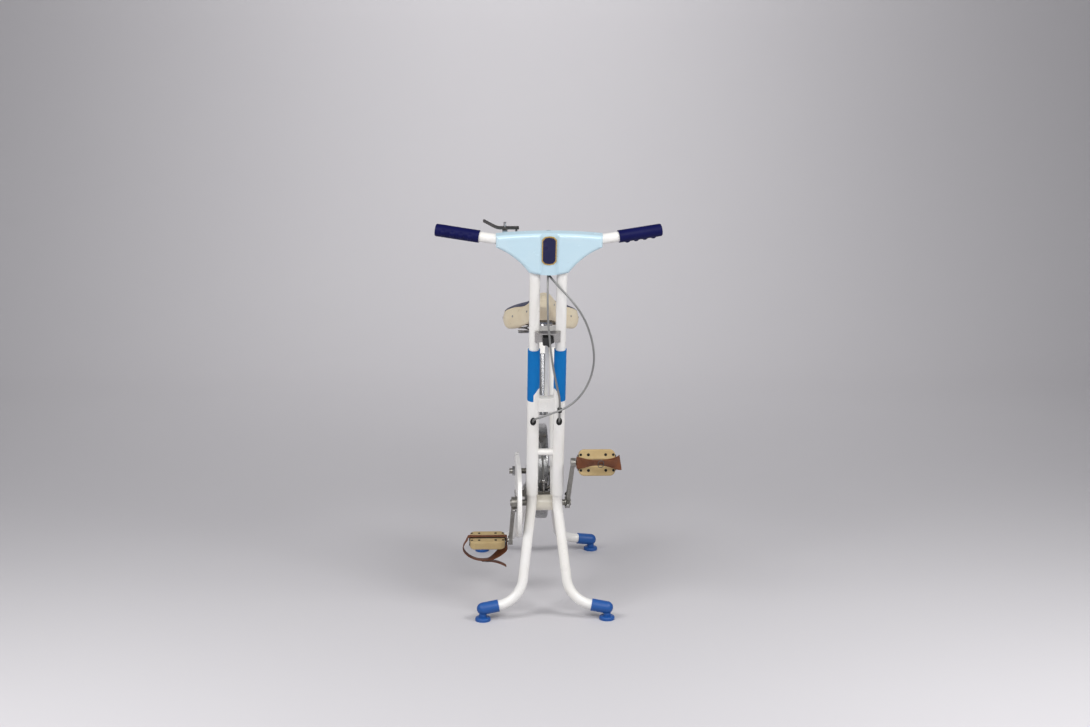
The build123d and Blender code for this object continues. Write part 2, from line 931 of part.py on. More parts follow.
def saddle_section(behind, half_width, underside, crown):
    tall = crown - underside
    low_half = half_width * saddle_side_draw
    shoulder = underside + saddle_shoulder * tall
    belly = underside + saddle_belly * tall
    edges = [
        Line((-low_half, underside), (low_half, underside)),
        ThreePointArc((low_half, underside), (half_width, belly), (low_half, shoulder)),
        ThreePointArc((low_half, shoulder), (0, crown), (-low_half, shoulder)),
        ThreePointArc((-low_half, shoulder), (-half_width, belly), (-low_half, underside)),
    ]
    place = Plane(origin=(0, saddle_datum + behind, pan_ceiling), x_dir=(1, 0, 0), z_dir=(0, -1, 0))
    return place * make_face(edges)


def pan_outline():
    return make_face(
        Polyline(
            (-pan_front_half_width, saddle_datum + pan_front),
            (-pan_middle_half_width, saddle_datum + pan_middle),
            (-pan_rear_half_width, saddle_datum + pan_rear),
            (pan_rear_half_width, saddle_datum + pan_rear),
            (pan_middle_half_width, saddle_datum + pan_middle),
            (pan_front_half_width, saddle_datum + pan_front),
            close=True,
        )
    )


def saddle_pad():
    pad = loft([saddle_section(*station) for station in saddle_stations])
    floor = spring_foot
    pocket = Pos(0, 0, floor) * extrude(offset(pan_outline(), rest_gap), amount=pan_ceiling - floor)
    return pad - pocket


def saddle_pan():
    return Pos(0, 0, pan_ceiling - pan_thickness) * extrude(pan_outline(), amount=pan_thickness)


def biarc(start, start_dir, end, end_dir):
    chord = end - start
    total = start_dir + end_dir
    a = 2 * (start_dir.dot(end_dir) - 1)
    b = -2 * chord.dot(total)
    c = chord.dot(chord)
    reach = (-b - math.sqrt(b * b - 4 * a * c)) / (2 * a)
    joint = (start + start_dir * reach + end - end_dir * reach) * 0.5
    joint_dir = (end - end_dir * reach - start - start_dir * reach).normalized()
    return [TangentArc(start, joint, tangent=start_dir), TangentArc(joint, end, tangent=joint_dir)]


def spring_points(height, steps):
    points = []
    for step in range(steps + 1):
        angle = 2 * math.pi * spring_turns * step / steps
        rise = height * step / steps
        points.append(Vector(spring_radius * math.cos(angle), spring_radius * math.sin(angle), rise))
    return points


spring_height = spring_drop - pan_thickness - spring_wire - 2 * rest_gap


def spring_gap():
    """Least clear distance between a spring's turns, measured on points of its middle line."""
    per_turn = 36
    points = spring_points(spring_height, per_turn * spring_turns)
    distances = []
    for index, point in enumerate(points):
        distances += [(point - other).length for other in points[index + per_turn // 2 :]]
    return min(distances) - spring_wire


def saddle_spring(side):
    height = spring_height
    steps = 4 * spring_turns
    points = spring_points(height, steps)
    pitch = height / spring_turns
    slope = pitch / (2 * math.pi)
    edges = []
    headings = []
    for step in range(steps + 1):
        angle = 2 * math.pi * spring_turns * step / steps
        heading = Vector(-spring_radius * math.sin(angle), spring_radius * math.cos(angle), slope)
        headings.append(heading.normalized())
    for step in range(steps):
        edges += biarc(points[step], headings[step], points[step + 1], headings[step + 1])
    path = Wire(edges)
    section = Plane(origin=points[0], z_dir=headings[0]) * Circle(spring_wire / 2)
    coil = sweep(section, path=path)
    foot = spring_foot + spring_wire / 2 + rest_gap
    return Pos(side * spring_half_gap, saddle_datum + spring_behind, foot) * coil


# Legs and feet
def front_leg_points(side):
    return [
        on_column(side * column_half_gap, 0, leg_spigot),
        on_column(side * column_half_gap, 0, leg_bend_along),
        Vector(side * leg_knee_across, bracket_y - front_knee_ahead, leg_knee_height),
        Vector(side * foot_across, bracket_y - front_foot_ahead, foot_socket_height),
    ]


def rear_leg_points(side):
    return [
        Vector(side * rear_leg_across, bracket_y, rear_leg_start_height),
        Vector(side * rear_leg_across, bracket_y + rear_leg_bend_behind, rear_leg_bend_height),
        Vector(side * leg_knee_across, bracket_y + rear_knee_behind, leg_knee_height),
        Vector(side * foot_across, bracket_y + rear_foot_behind, foot_socket_height),
    ]


def front_leg(side):
    radii = (leg_bend_radius, leg_knee_radius)
    return bent_tube(front_leg_points(side), radii, leg_outer, leg_outer - 2 * tube_wall)


def rear_leg(side):
    radii = (rear_leg_bend_radius, leg_knee_radius)
    leg = bent_tube(rear_leg_points(side), radii, leg_outer, leg_outer - 2 * tube_wall)
    leg = leg - cross_rod(bracket, -bracket_width, bracket_width, bracket_outer)
    return leg - seat_rod(side * seat_half_gap, 0, seat_tube_top, seat_tube_outer)


def foot(points):
    knee = points[-2]
    end = points[-1]
    outward = (end - knee).normalized()
    mouth = end - outward * foot_cap_length
    cap = rod(mouth, end, foot_cap_outer) + Pos(*end) * Sphere(foot_cap_outer / 2)
    neck = Pos(end.X, end.Y, 0) * Cylinder(foot_neck_diameter / 2, end.Z, align=BASE)
    base = Pos(end.X, end.Y, 0) * Cylinder(foot_base_diameter / 2, foot_base_height, align=BASE)
    base = fillet(base.edges().sort_by(Axis.Z)[-1], foot_base_height / 2)
    return cap + neck + base - rod(mouth, end, leg_outer + 2 * press_gap)


# Chain drive
def polar(radius, angle):
    return Vector(radius * math.cos(angle), radius * math.sin(angle), 0)


def loop_point(distance):
    """Point and outward direction on the chain's pitch line, from the top of the front wheel's arc."""
    step = front_radius - rear_radius
    alpha = math.acos(step / centres)
    straight = math.sqrt(centres**2 - step**2)
    rear_arc = 2 * alpha * rear_radius
    front_arc = (2 * math.pi - 2 * alpha) * front_radius
    distance = distance % (2 * straight + rear_arc + front_arc)
    top_front = polar(front_radius, alpha)
    top_rear = Vector(centres, 0, 0) + polar(rear_radius, alpha)
    low_front = polar(front_radius, -alpha)
    low_rear = Vector(centres, 0, 0) + polar(rear_radius, -alpha)
    if distance < straight:
        return top_front + (top_rear - top_front) * (distance / straight), polar(1, alpha)
    distance -= straight
    if distance < rear_arc:
        out = polar(1, alpha - distance / rear_radius)
        return Vector(centres, 0, 0) + out * rear_radius, out
    distance -= rear_arc
    if distance < straight:
        return low_rear + (low_front - low_rear) * (distance / straight), polar(1, -alpha)
    distance -= straight
    out = polar(1, -alpha - distance / front_radius)
    return out * front_radius, out


def roller_places():
    return [loop_point(index * chain_pitch)[0] for index in range(chain_links)]


def tooth_phase(centre, radius):
    """Angle of a roller that lies on a wheel's arc, about that wheel's centre."""
    for place in roller_places():
        arm = place - centre
        if abs(arm.length - radius) < 1e-6:
            return math.atan2(arm.Y, arm.X)
    return 0.0


def toothed_disc(teeth, phase):
    radius = pitch_radius(teeth)
    seat = roller_diameter / 2 + roller_play
    step = 2 * math.pi / teeth
    tip = radius + tooth_rise
    tip_half = tooth_tip_width / 2 / tip
    edges = []
    for index in range(teeth):
        angle = phase + index * step
        first = polar(tip, angle - step / 2 + tip_half)
        last = polar(tip, angle + step / 2 - tip_half)
        next_first = polar(tip, angle + step / 2 + tip_half)
        across = polar(seat, angle + math.pi / 2)
        middle = polar(radius, angle)
        edges.append(Line(first, middle - across))
        edges.append(ThreePointArc(middle - across, polar(radius - seat, angle), middle + across))
        edges.append(Line(middle + across, last))
        edges.append(Line(last, next_first))
    return make_face(edges)


def chainwheel():
    disc = toothed_disc(chainwheel_teeth, tooth_phase(Vector(0, 0, 0), front_radius))
    disc = disc - Circle(crank_boss_outer / 2 + press_gap)
    for hole in PolarLocations(chainwheel_hole_circle, chainwheel_holes):
        disc = disc - hole * Circle(chainwheel_hole_radius)
    return chain_line * extrude(disc, amount=tooth_thickness / 2, both=True)


def sprocket():
    phase = tooth_phase(Vector(centres, 0, 0), rear_radius)
    disc = extrude(toothed_disc(sprocket_teeth, phase), amount=tooth_thickness / 2, both=True)
    hub = Cylinder(sprocket_hub_outer / 2, sprocket_hub_length, align=BASE)
    wheel = chain_line * (Pos(centres, 0, 0) * (disc + hub))
    return wheel - cross_rod(shaft_at, shaft_right_end, shaft_left_end, shaft_diameter + 2 * press_gap)


def chain():
    outer = []
    inner = []
    for index in range(2 * chain_links):
        place, out = loop_point(index * chain_pitch / 2)
        half = (plate_wide if index % 2 == 0 else plate_narrow) / 2
        outer.append(place + out * half)
        inner.append(place - out * half)
    strand = make_face(Polyline(*outer, close=True)) - make_face(Polyline(*inner, close=True))
    near = tooth_thickness / 2 + plate_play
    loop = Pos(0, 0, near) * extrude(strand, amount=plate_thickness)
    loop = loop + Pos(0, 0, -near) * extrude(strand, amount=-plate_thickness)
    rollers = []
    for place in roller_places():
        face = RegularPolygon(roller_diameter / 2, 8)
        rollers.append(Pos(*place) * extrude(face, amount=near + plate_thickness / 2, both=True))
    return chain_line * (loop + rollers)


# Chain guard
def guard_outline(inset):
    front = guard_front_radius - inset
    rear = guard_rear_radius - inset
    alpha = math.acos((front - rear) / centres)
    shift = Vector(centres, 0, 0)
    wedge = Polyline(
        polar(front, alpha),
        shift + polar(rear, alpha),
        shift + polar(rear, -alpha),
        polar(front, -alpha),
        close=True,
    )
    return make_face(wedge) + Circle(front) + Pos(centres, 0, 0) * Circle(rear)


def chain_guard():
    depth = guard_inner_edge - guard_outer_face
    shell = extrude(guard_outline(0), amount=depth)
    rim = shell.faces().sort_by(Axis.Z)[0].edges()
    shell = fillet(rim, 2 * guard_wall)
    hollow = Pos(0, 0, guard_wall) * extrude(guard_outline(guard_wall), amount=depth)
    shell = shell - hollow
    shell = shell - Cylinder(guard_crank_hole / 2, depth)
    shell = shell - Pos(centres, 0, 0) * Cylinder(guard_shaft_hole / 2, depth)
    return Pos(guard_outer_face - chain_across, 0, 0) * (chain_line * shell)


def guard_stud(behind):
    y = bracket_y + behind
    height = rear_leg_height(y)
    stud = rod((-rear_leg_across, y, height), (guard_outer_face + guard_wall, y, height), guard_stud_diameter)
    return stud - rod_through_leg(sides["right"])


def rod_through_leg(side):
    points = rear_leg_points(side)
    return rod(points[0], points[1], leg_outer)


# Crankset
def crank_frame(turn):
    return Pos(*bracket) * Rot(turn, 0, 0)


def crank_arm(hub_across, eye_across):
    half = crank_thickness / 2
    hub = rod((hub_across - half, 0, 0), (hub_across + half, 0, 0), crank_hub_outer)
    eye_start = (eye_across - half, 0, crank_length)
    eye_end = (eye_across + half, 0, crank_length)
    eye = rod(eye_start, eye_end, crank_eye_outer)
    root = Pos(hub_across, 0, 0) * Rectangle(0.8 * crank_thickness, crank_root_width)
    tip = Pos(eye_across, 0, crank_length) * Rectangle(0.7 * crank_thickness, crank_tip_width)
    arm = hub + eye + loft([root, tip])
    thread = rod(eye_start, eye_end, pedal_thread_diameter)
    return arm - thread - cotter_pin(hub_across)


def cotter_pin(hub_across):
    half = cotter_length / 2
    return rod((hub_across, -half, cotter_offset), (hub_across, half, cotter_offset), cotter_diameter)


def spindle_bore():
    return rod((2 * right_crank_across, 0, 0), (2 * left_crank_across, 0, 0), spindle_diameter)


def left_crank():
    arm = crank_arm(left_crank_across, left_eye_across) - spindle_bore()
    return crank_frame(crank_angle) * arm


def right_crank():
    inner = right_crank_across + crank_thickness / 2
    wheel_outer = chain_across - tooth_thickness / 2
    flange = rod((wheel_outer - crank_boss_flange_width, 0, 0), (wheel_outer, 0, 0), crank_boss_flange)
    boss = rod((inner, 0, 0), (chain_across + tooth_thickness / 2, 0, 0), crank_boss_outer)
    arm = crank_arm(right_crank_across, right_eye_across) + boss + flange - spindle_bore()
    return crank_frame(crank_angle + 180) * arm


def spindle():
    left_end = left_crank_across + crank_thickness / 2 + cup_lip_width
    right_end = right_crank_across - crank_thickness / 2 - cup_lip_width
    shaft = rod((right_end, 0, 0), (left_end, 0, 0), spindle_diameter)
    turned = crank_frame(crank_angle) * (shaft - cotter_pin(left_crank_across))
    return turned - crank_frame(crank_angle + 180) * cotter_pin(right_crank_across)


def pedal_axle(eye_across, pedal_across):
    side = math.copysign(1, pedal_across)
    half = crank_thickness / 2
    start = (eye_across - side * half, 0, crank_length)
    shoulder = (eye_across + side * half, 0, crank_length)
    end = (pedal_across + side * pedal_length / 2, 0, crank_length)
    return rod(start, shoulder, pedal_thread_diameter) + rod(start, end, pedal_axle_diameter)


# Pedals
def pedal_frame():
    half = pedal_length / 2
    barrel = rod((-half, 0, 0), (half, 0, 0), pedal_barrel_outer)
    frame = barrel
    for end in (-half, half - pedal_plate_thickness):
        plate = Plane(origin=(end, 0, 0), x_dir=(0, 1, 0), z_dir=(1, 0, 0)) * extrude(
            SlotOverall(pedal_plate_depth, block_height - block_round), amount=pedal_plate_thickness
        )
        frame = frame + plate
    return frame - rod((-pedal_length, 0, 0), (pedal_length, 0, 0), pedal_axle_diameter + 2 * running_gap)


def pedal_block(row):
    length = pedal_length - 2 * pedal_plate_thickness
    centre = row * (pedal_depth - block_depth) / 2
    tread = Box(length, block_depth, block_height)
    outer = tread.edges().filter_by(Axis.Z).sort_by(Axis.Y)
    tread = fillet(outer[-2:] if row > 0 else outer[:2], block_corner)
    rims = tread.faces().filter_by(Axis.Z).edges()
    return Pos(0, centre, 0) * fillet(rims, block_round)


def pedal_strap(side):
    under = -block_height / 2 - rest_gap - strap_thickness
    loop = FilletPolyline(
        (-side * strap_side, under),
        (side * strap_side, under),
        (side * strap_bulge, 0.35 * strap_crown),
        (side * strap_crown_half_width, strap_crown),
        (-side * strap_crown_half_width, strap_crown),
        (-side * strap_shoulder, 0.3 * strap_crown),
        radius=(strap_foot_corner, strap_foot_corner, *4 * (strap_corner,)),
        close=True,
    )
    outer = make_face(loop)
    band = outer - offset(outer, -strap_thickness)
    strap = extrude(Plane.XZ * band, amount=strap_width / 2, both=True)
    return strap - rod((0, 0, 0), (-side * pedal_length, 0, 0), pedal_axle_diameter + 2 * rest_gap)


def pedal_place(turn, pedal_across, pedal_turn):
    centre = crank_frame(turn) * Pos(pedal_across, 0, crank_length)
    return Pos(*centre.position) * Rot(pedal_turn, 0, 0)


# Flywheel
def flywheel():
    half = flywheel_width / 2
    rim_in = flywheel_radius - flywheel_rim
    hub = flywheel_hub_outer / 2
    web = flywheel_web / 2
    profile = Polyline(
        (-half, 0),
        (-half, hub),
        (-web, hub),
        (-web, rim_in),
        (-half, rim_in),
        (-half, flywheel_radius),
        (half, flywheel_radius),
        (half, rim_in),
        (web, rim_in),
        (web, hub),
        (half, hub),
        (half, 0),
        close=True,
    )
    wheel = revolve(make_face(profile), axis=Axis.X)
    corners = [edge for edge in wheel.edges() if abs(edge.bounding_box().max.Y - flywheel_radius) < 1e-3]
    wheel = fillet(corners, flywheel_round)
    bore = rod((-bearing_inner, 0, 0), (bearing_inner, 0, 0), shaft_diameter + 2 * press_gap)
    return Pos(*shaft_at) * (wheel - bore)


def flywheel_shaft():
    shaft = cross_rod(shaft_at, shaft_right_end, shaft_left_end, shaft_diameter)
    for side in sides.values():
        inner = side * flywheel_width / 2
        shaft = shaft + cross_rod(shaft_at, inner, side * (bearing_inner - rest_gap), shaft_collar_outer)
    return shaft


def shaft_nut(inner_face, side):
    hexagon = extrude(RegularPolygon(nut_across_corners / 2, 6), amount=nut_thickness)
    nut = hexagon - Cylinder(shaft_diameter / 2 + press_gap, 3 * nut_thickness)
    frame = Plane(origin=(inner_face, shaft_at.Y, shaft_at.Z), x_dir=(0, 0, 1), z_dir=(side, 0, 0))
    return frame * nut


def bearing_plate(side):
    frame = Plane(origin=(side * bearing_inner, shaft_at.Y, shaft_at.Z), x_dir=(0, 1, 0), z_dir=(1, 0, 0))
    drop = shaft_at.Z - rear_leg_height(shaft_at.Y)
    half = bearing_base / 2
    foot = Polyline((-bearing_radius, 0), (bearing_radius, 0), (half, -drop), (-half, -drop), close=True)
    outline = make_face(foot) + Circle(bearing_radius)
    plate = frame * extrude(outline, amount=side * bearing_thickness)
    plate = plate - cross_rod(shaft_at, shaft_right_end, shaft_left_end, shaft_diameter + 2 * running_gap)
    leg = rear_leg_points(side)
    path = FilletPolyline(*leg, radius=(rear_leg_bend_radius, leg_knee_radius))
    section = Plane(origin=path @ 0, z_dir=path % 0)
    return plate - sweep(section * Circle(leg_outer / 2), path=path)


# Brake at the flywheel
brake_pivot_height = rear_leg_height(bracket_y + brake_bridge_behind) + brake_pivot_rise
brake_pad_height = brake_pivot_height + brake_pad_rise
stop_bulb_height = brake_pivot_height + stop_bulb_rise


def brake_bolt_rod(front, back, diameter):
    return rod(
        (0, bracket_y + front, brake_pivot_height), (0, bracket_y + back, brake_pivot_height), diameter
    )


brake_arms_back = brake_arm_behind + 2 * brake_arm_thickness + brake_arm_gap


def stop_point(rise):
    return Vector(0, bracket_y + brake_bridge_behind, stop_bulb_height + rise)


def brake_bridge():
    half = brake_bridge_depth / 2
    middle = bracket_y + brake_bridge_behind
    height = rear_leg_height(middle)
    reach = rear_leg_across - leg_outer / 3
    top = brake_pivot_height + brake_boss_outer / 2
    bridge = block(-reach, reach, middle - half, middle + half, height, top)
    for side in sides.values():
        bridge = bridge - rod_through_leg(side)
        bridge = bridge - seat_rod(side * seat_half_gap, 0, seat_tube_top, seat_tube_outer)
    stem = rod((0, middle, height), (0, middle, stop_bulb_height), stop_stem_diameter)
    bulb = Pos(0, middle, stop_bulb_height) * Sphere(stop_bulb_diameter / 2)
    socket = rod(stop_point(0), stop_point(stop_bulb_diameter), cable_diameter + 2 * press_gap)
    bulb = bulb - socket
    bolt = brake_bolt_rod(brake_bridge_behind, brake_arms_back + 2 * brake_arm_gap, brake_pivot_diameter)
    return bridge + stem + bulb + bolt


def brake_arm(side, front):
    back = front + brake_arm_thickness
    boss = brake_bolt_rod(front, back, brake_boss_outer)
    strip = Plane(origin=(0, bracket_y + back, 0), x_dir=(1, 0, 0), z_dir=(0, -1, 0)) * extrude(
        arm_outline(side), amount=brake_arm_thickness
    )
    near = side * brake_bar_across
    far = side * (brake_bar_across + brake_bar_width)
    bar = block(
        min(near, far),
        max(near, far),
        bracket_y + front,
        bracket_y + brake_pad_behind + brake_pad_depth,
        brake_pad_height - brake_bar_height / 2,
        brake_pad_height + brake_bar_height / 2,
    )
    return boss + strip + bar - brake_bolt_rod(front, back, brake_pivot_diameter + 2 * running_gap)


def arm_outline(side):
    half = brake_arm_width / 2
    reach = side * (brake_bar_across + brake_bar_width / 2)
    return make_face(
        Polyline(
            (-half, brake_pivot_height),
            (half, brake_pivot_height),
            (reach + half, brake_pad_height),
            (reach - half, brake_pad_height),
            close=True,
        )
    )


def brake_pad(side):
    near = side * (flywheel_width / 2 + brake_pad_gap)
    far = side * brake_bar_across
    return block(
        min(near, far),
        max(near, far),
        bracket_y + brake_pad_behind,
        bracket_y + brake_pad_behind + brake_pad_depth,
        brake_pad_height - brake_pad_length / 2,
        brake_pad_height + brake_pad_length / 2,
    )


# Cables, as points of their routes chosen by hand: across, behind and along the column
clip_behind = -21.5
speedometer_route = (
    (0.0, nipple_behind, nipple_end + cable_nipple_length / 2),
    (0.0, nipple_behind, 676.0),
    (0.0, 13.0, 664.0),
    (-1.0, 3.0, 645.0),
    (-2.0, -12.0, 617.0),
    (-2.0, -26.0, 581.0),
    (-1.0, -37.0, 540.0),
    (3.0, -42.0, 497.0),
    (8.0, -41.0, 452.0),
    (15.0, -35.0, 406.0),
    (24.0, -27.0, 361.0),
    (31.0, -22.5, 329.0),
    (column_half_gap, clip_behind, 309.0),
)
brake_route = (
    (-76.0, 19.0, bar_along + lever_seat_height - rest_gap),
    (-76.0, 19.5, 728.0),
    (-75.0, 22.0, 702.0),
    (-67.0, 23.0, 679.0),
    (-48.0, 22.0, 664.0),
    (-22.0, 18.0, 652.0),
    (0.0, 9.0, 640.0),
    (12.0, -6.0, 629.0),
    (28.0, -20.0, 616.0),
    (48.0, -30.0, 597.0),
    (69.0, -36.0, 572.0),
    (87.0, -38.0, 541.0),
    (102.0, -39.0, 501.0),
    (110.0, -38.0, 461.0),
    (111.0, -37.0, 425.0),
    (105.0, -37.0, 391.0),
    (92.0, -37.0, 358.0),
    (72.0, -37.0, 329.0),
    (47.0, -38.0, 309.0),
    (21.0, -41.0, 298.5),
    (-3.0, -43.0, 290.5),
    (-18.5, -41.0, 283.5),
    (-28.0, -36.0, 277.5),
)
brake_lower_route = (
    (-30.0, 24.0, 214.0),
    (-24.0, 36.0, 195.0),
    (-15.0, 47.0, 168.0),
    (-6.0, 56.0, 136.0),
)


def corner_radii(points):
    radii = []
    for before, corner, after in zip(points, points[1:], points[2:]):
        first = corner - before
        second = after - corner
        turn = math.radians(first.get_angle(second))
        shorter = min(first.length, second.length)
        radii.append(0.45 * shorter / math.tan(turn / 2))
    return radii


def cable(name, points):
    radii = corner_radii(points)
    path = FilletPolyline(*points, radius=radii)
    section = Plane(origin=path @ 0, z_dir=path % 0)
    tube = sweep(section * Circle(cable_diameter / 2), path=path)
    plain = math.pi * cable_diameter**2 / 4 * path.length
    print(name, "length", round(path.length, 1), "volume share", round(tube.volume / plain, 4))
    print(name, "radii", [round(radius, 1) for radius in radii])
    return tube


def brake_cable():
    side = sides["right"]
    points = [on_column(*point) for point in brake_route]
    points.append(entry_point(side, -column_tube_outer / 2))
    points.append(entry_point(side, 1.5 * column_tube_outer))
    points += [on_column(*point) for point in brake_lower_route]
    points.append(stop_point(2 * stop_bulb_diameter))
    points.append(stop_point(stop_bulb_diameter / 4))
    return cable("brake cable", points)


def speedometer_cable():
    side = sides["left"]
    tilt = math.radians(cable_hole_tilt)
    points = [on_column(*point) for point in speedometer_route]
    points.append(entry_point(side, (clip_behind + column_tube_outer / 2) / math.sin(tilt)))
    points.append(entry_point(side, column_tube_outer / 2))
    return cable("speedometer cable", points)


def cable_grommet(side):
    across = side * column_half_gap
    lip_outer = cable_hole_diameter + 2 * grommet_wall
    plug = rod(entry_point(side, -column_tube_outer), entry_point(side, column_tube_outer / 2), lip_outer)
    skin = column_tube_outer + 2 * grommet_lip
    plug = plug & column_rod(across, 0, column_tube_bottom, column_tube_top, skin)
    outside = entry_point(side, -column_tube_outer)
    inside = entry_point(side, column_tube_outer / 2)
    stem = rod(outside, inside, cable_hole_diameter)
    lip = plug - column_rod(across, 0, column_tube_bottom, column_tube_top, column_tube_outer)
    core = stem & column_rod(across, 0, column_tube_bottom, column_tube_top, column_tube_outer)
    core = core - column_rod(across, 0, column_tube_bottom, column_tube_top, column_bore)
    bore_diameter = cable_diameter + 2 * cable_play
    bore = rod(outside, inside, bore_diameter)
    return lip + core - bore


def cable_clip():
    centre = on_column(column_half_gap, clip_behind, clip_along)
    ring = Plane(origin=centre, z_dir=column.z_dir)
    outer = ring * Cylinder(cable_diameter / 2 + clip_wall, 2 * cable_diameter)
    bore = ring * Cylinder(cable_diameter / 2 + press_gap, 3 * cable_diameter)
    tube = column_rod(column_half_gap, 0, column_tube_bottom, column_tube_top, column_tube_outer)
    return outer - bore - tube


# Assembly
axle_turns = {"left": crank_angle, "right": crank_angle + 180}
pedal_sets = {
    "left": (left_eye_across, left_pedal_across, left_pedal_angle),
    "right": (right_eye_across, right_pedal_across, right_pedal_angle),
}
nodes = {
    "column_bridge": [column_bridge()],
    "column_brace": [column_brace()],
    "clamp_stay": [clamp_stay()],
    "clamp_plate": [clamp_plate()],
    "clamp_knob": [clamp_knob()],
    "bracket_shell": [bracket_shell()],
    "bracket_cups": [bracket_cup(side) for side in sides.values()],
    "seat_collar": [seat_collar()],
    "seat_binder_bolt": [binder_bolt()],
    "seat_post": [seat_post()],
    "saddle_clamp": [saddle_clamp()],
    "saddle_frame": [saddle_frame()],
    "saddle_springs": [saddle_spring(side) for side in sides.values()],
    "saddle_pan": [saddle_pan()],
    "saddle_pad": [saddle_pad()],
    "handlebar": [handlebar()],
    "cowl": [cowl()],
    "dash": [dash()],
    "grips": [grip(1, left_grip_turn), grip(-1, right_grip_turn)],
    "speedometer_case": [speedometer_case()],
    "speedometer_dial": [speedometer_dial()],
    "speedometer_needle": [speedometer_needle()],
    "speedometer_bezel": [speedometer_bezel()],
    "speedometer_lens": [speedometer_lens()],
    "lever_clamp": [lever_clamp()],
    "brake_lever": [brake_lever()],
    "chain_guard": [chain_guard()],
    "guard_studs": [guard_stud(place) for place in guard_stud_places],
    "chain": [chain()],
    "chainwheel": [chainwheel()],
    "sprocket": [sprocket()],
    "spindle": [spindle()],
    "cranks": [left_crank(), right_crank()],
    "flywheel": [flywheel()],
    "flywheel_shaft": [flywheel_shaft()],
    "shaft_nuts": [
        shaft_nut(shaft_right_end + 2 * nut_thickness, -1),
        shaft_nut(bearing_inner + bearing_thickness + rest_gap, 1),
    ],
    "bearing_plates": [bearing_plate(side) for side in sides.values()],
    "brake_bridge": [brake_bridge()],
    "brake_arm_left": [brake_arm(1, brake_arm_behind)],
    "brake_arm_right": [brake_arm(-1, brake_arm_behind + brake_arm_thickness + brake_arm_gap)],
    "brake_cable": [brake_cable()],
    "speedometer_cable": [speedometer_cable()],
    "cable_fittings": [cable_grommet(1), cable_grommet(-1), cable_clip()],
    "cotter_pins": [
        crank_frame(crank_angle) * cotter_pin(left_crank_across),
        crank_frame(crank_angle + 180) * cotter_pin(right_crank_across),
    ],
    "pedal_axles": [
        crank_frame(axle_turns[name]) * pedal_axle(pedal_sets[name][0], pedal_sets[name][1]) for name in sides
    ],
    "column_tubes": [column_tube(side) for side in sides.values()],
    "column_sleeves": [column_sleeve(side) for side in sides.values()],
    "riser_tubes": [riser_tube(side) for side in sides.values()],
    "seat_tubes": [seat_tube(side) for side in sides.values()],
    "front_legs": [front_leg(side) for side in sides.values()],
    "rear_legs": [rear_leg(side) for side in sides.values()],
    "feet": [foot(points(side)) for points in (front_leg_points, rear_leg_points) for side in sides.values()],
}
for name, side in sides.items():
    pedal_across, pedal_turn = pedal_sets[name][1:]
    place = pedal_place(axle_turns[name], pedal_across, pedal_turn)
    nodes["pedal_" + name] = [place * pedal_frame()]
    nodes["pedal_blocks_" + name] = [place * pedal_block(row) for row in (1, -1)]
    nodes["pedal_strap_" + name] = [place * pedal_strap(side)]
    nodes["brake_pad_" + name] = [brake_pad(side)]

print("saddle spring least gap", round(spring_gap(), 2))
for name, solids in nodes.items():
    export_step(Compound([solid for shape in solids for solid in shape.solids()]), f"parts/{name}.step")
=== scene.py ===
import math

import bmesh
import bpy
from mathutils import Matrix, Vector
from mathutils.bvhtree import BVHTree


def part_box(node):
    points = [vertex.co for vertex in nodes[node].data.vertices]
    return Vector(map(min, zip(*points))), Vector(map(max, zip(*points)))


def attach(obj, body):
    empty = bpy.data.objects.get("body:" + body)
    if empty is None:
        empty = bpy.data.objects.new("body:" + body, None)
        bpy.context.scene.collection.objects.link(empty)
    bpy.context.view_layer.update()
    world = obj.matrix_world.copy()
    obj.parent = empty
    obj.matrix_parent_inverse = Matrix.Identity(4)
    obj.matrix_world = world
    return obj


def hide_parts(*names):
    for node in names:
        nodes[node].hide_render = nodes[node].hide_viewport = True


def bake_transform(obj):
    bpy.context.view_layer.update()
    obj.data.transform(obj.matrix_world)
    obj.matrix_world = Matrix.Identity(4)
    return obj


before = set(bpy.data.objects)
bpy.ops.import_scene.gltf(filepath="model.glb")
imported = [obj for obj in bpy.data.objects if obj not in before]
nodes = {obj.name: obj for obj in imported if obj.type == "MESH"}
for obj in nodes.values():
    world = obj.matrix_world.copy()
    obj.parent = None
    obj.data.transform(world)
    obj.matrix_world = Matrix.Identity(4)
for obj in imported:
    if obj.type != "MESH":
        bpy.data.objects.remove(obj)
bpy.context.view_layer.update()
scene = bpy.context.scene

# Sizes shared with the CAD part, in metres and radians
bracket = Vector((0, -0.1223, 0.279))
lean = math.radians(14.8)
column_back = Vector((0, math.cos(lean), math.sin(lean)))
column_up = Vector((0, -math.sin(lean), math.cos(lean)))
column_foot = bracket - column_back * 0.03272
bar_along = 0.732
crank_length = 0.15
crank_turn = math.radians(33)
# Each pedal's side, place across, crank angle and tilt
pedals = {
    "left": (1, 0.128, crank_turn, math.radians(76)),
    "right": (-1, -0.144, crank_turn + math.pi, math.radians(190)),
}


def on_column(across, behind, along):
    return column_foot + Vector((across, 0, 0)) + column_back * behind + column_up * along


column_turn = Matrix((
    (1, 0, 0, 0),
    (0, column_back.y, column_up.y, 0),
    (0, column_back.z, column_up.z, 0),
    (0, 0, 0, 1),
))


def pedal_matrix(name):
    across, turn, tilt = pedals[name][1:]
    place = bracket + Vector((across, -crank_length * math.sin(turn), crank_length * math.cos(turn)))
    return Matrix.Translation(place) @ Matrix.Rotation(tilt, 4, "X")


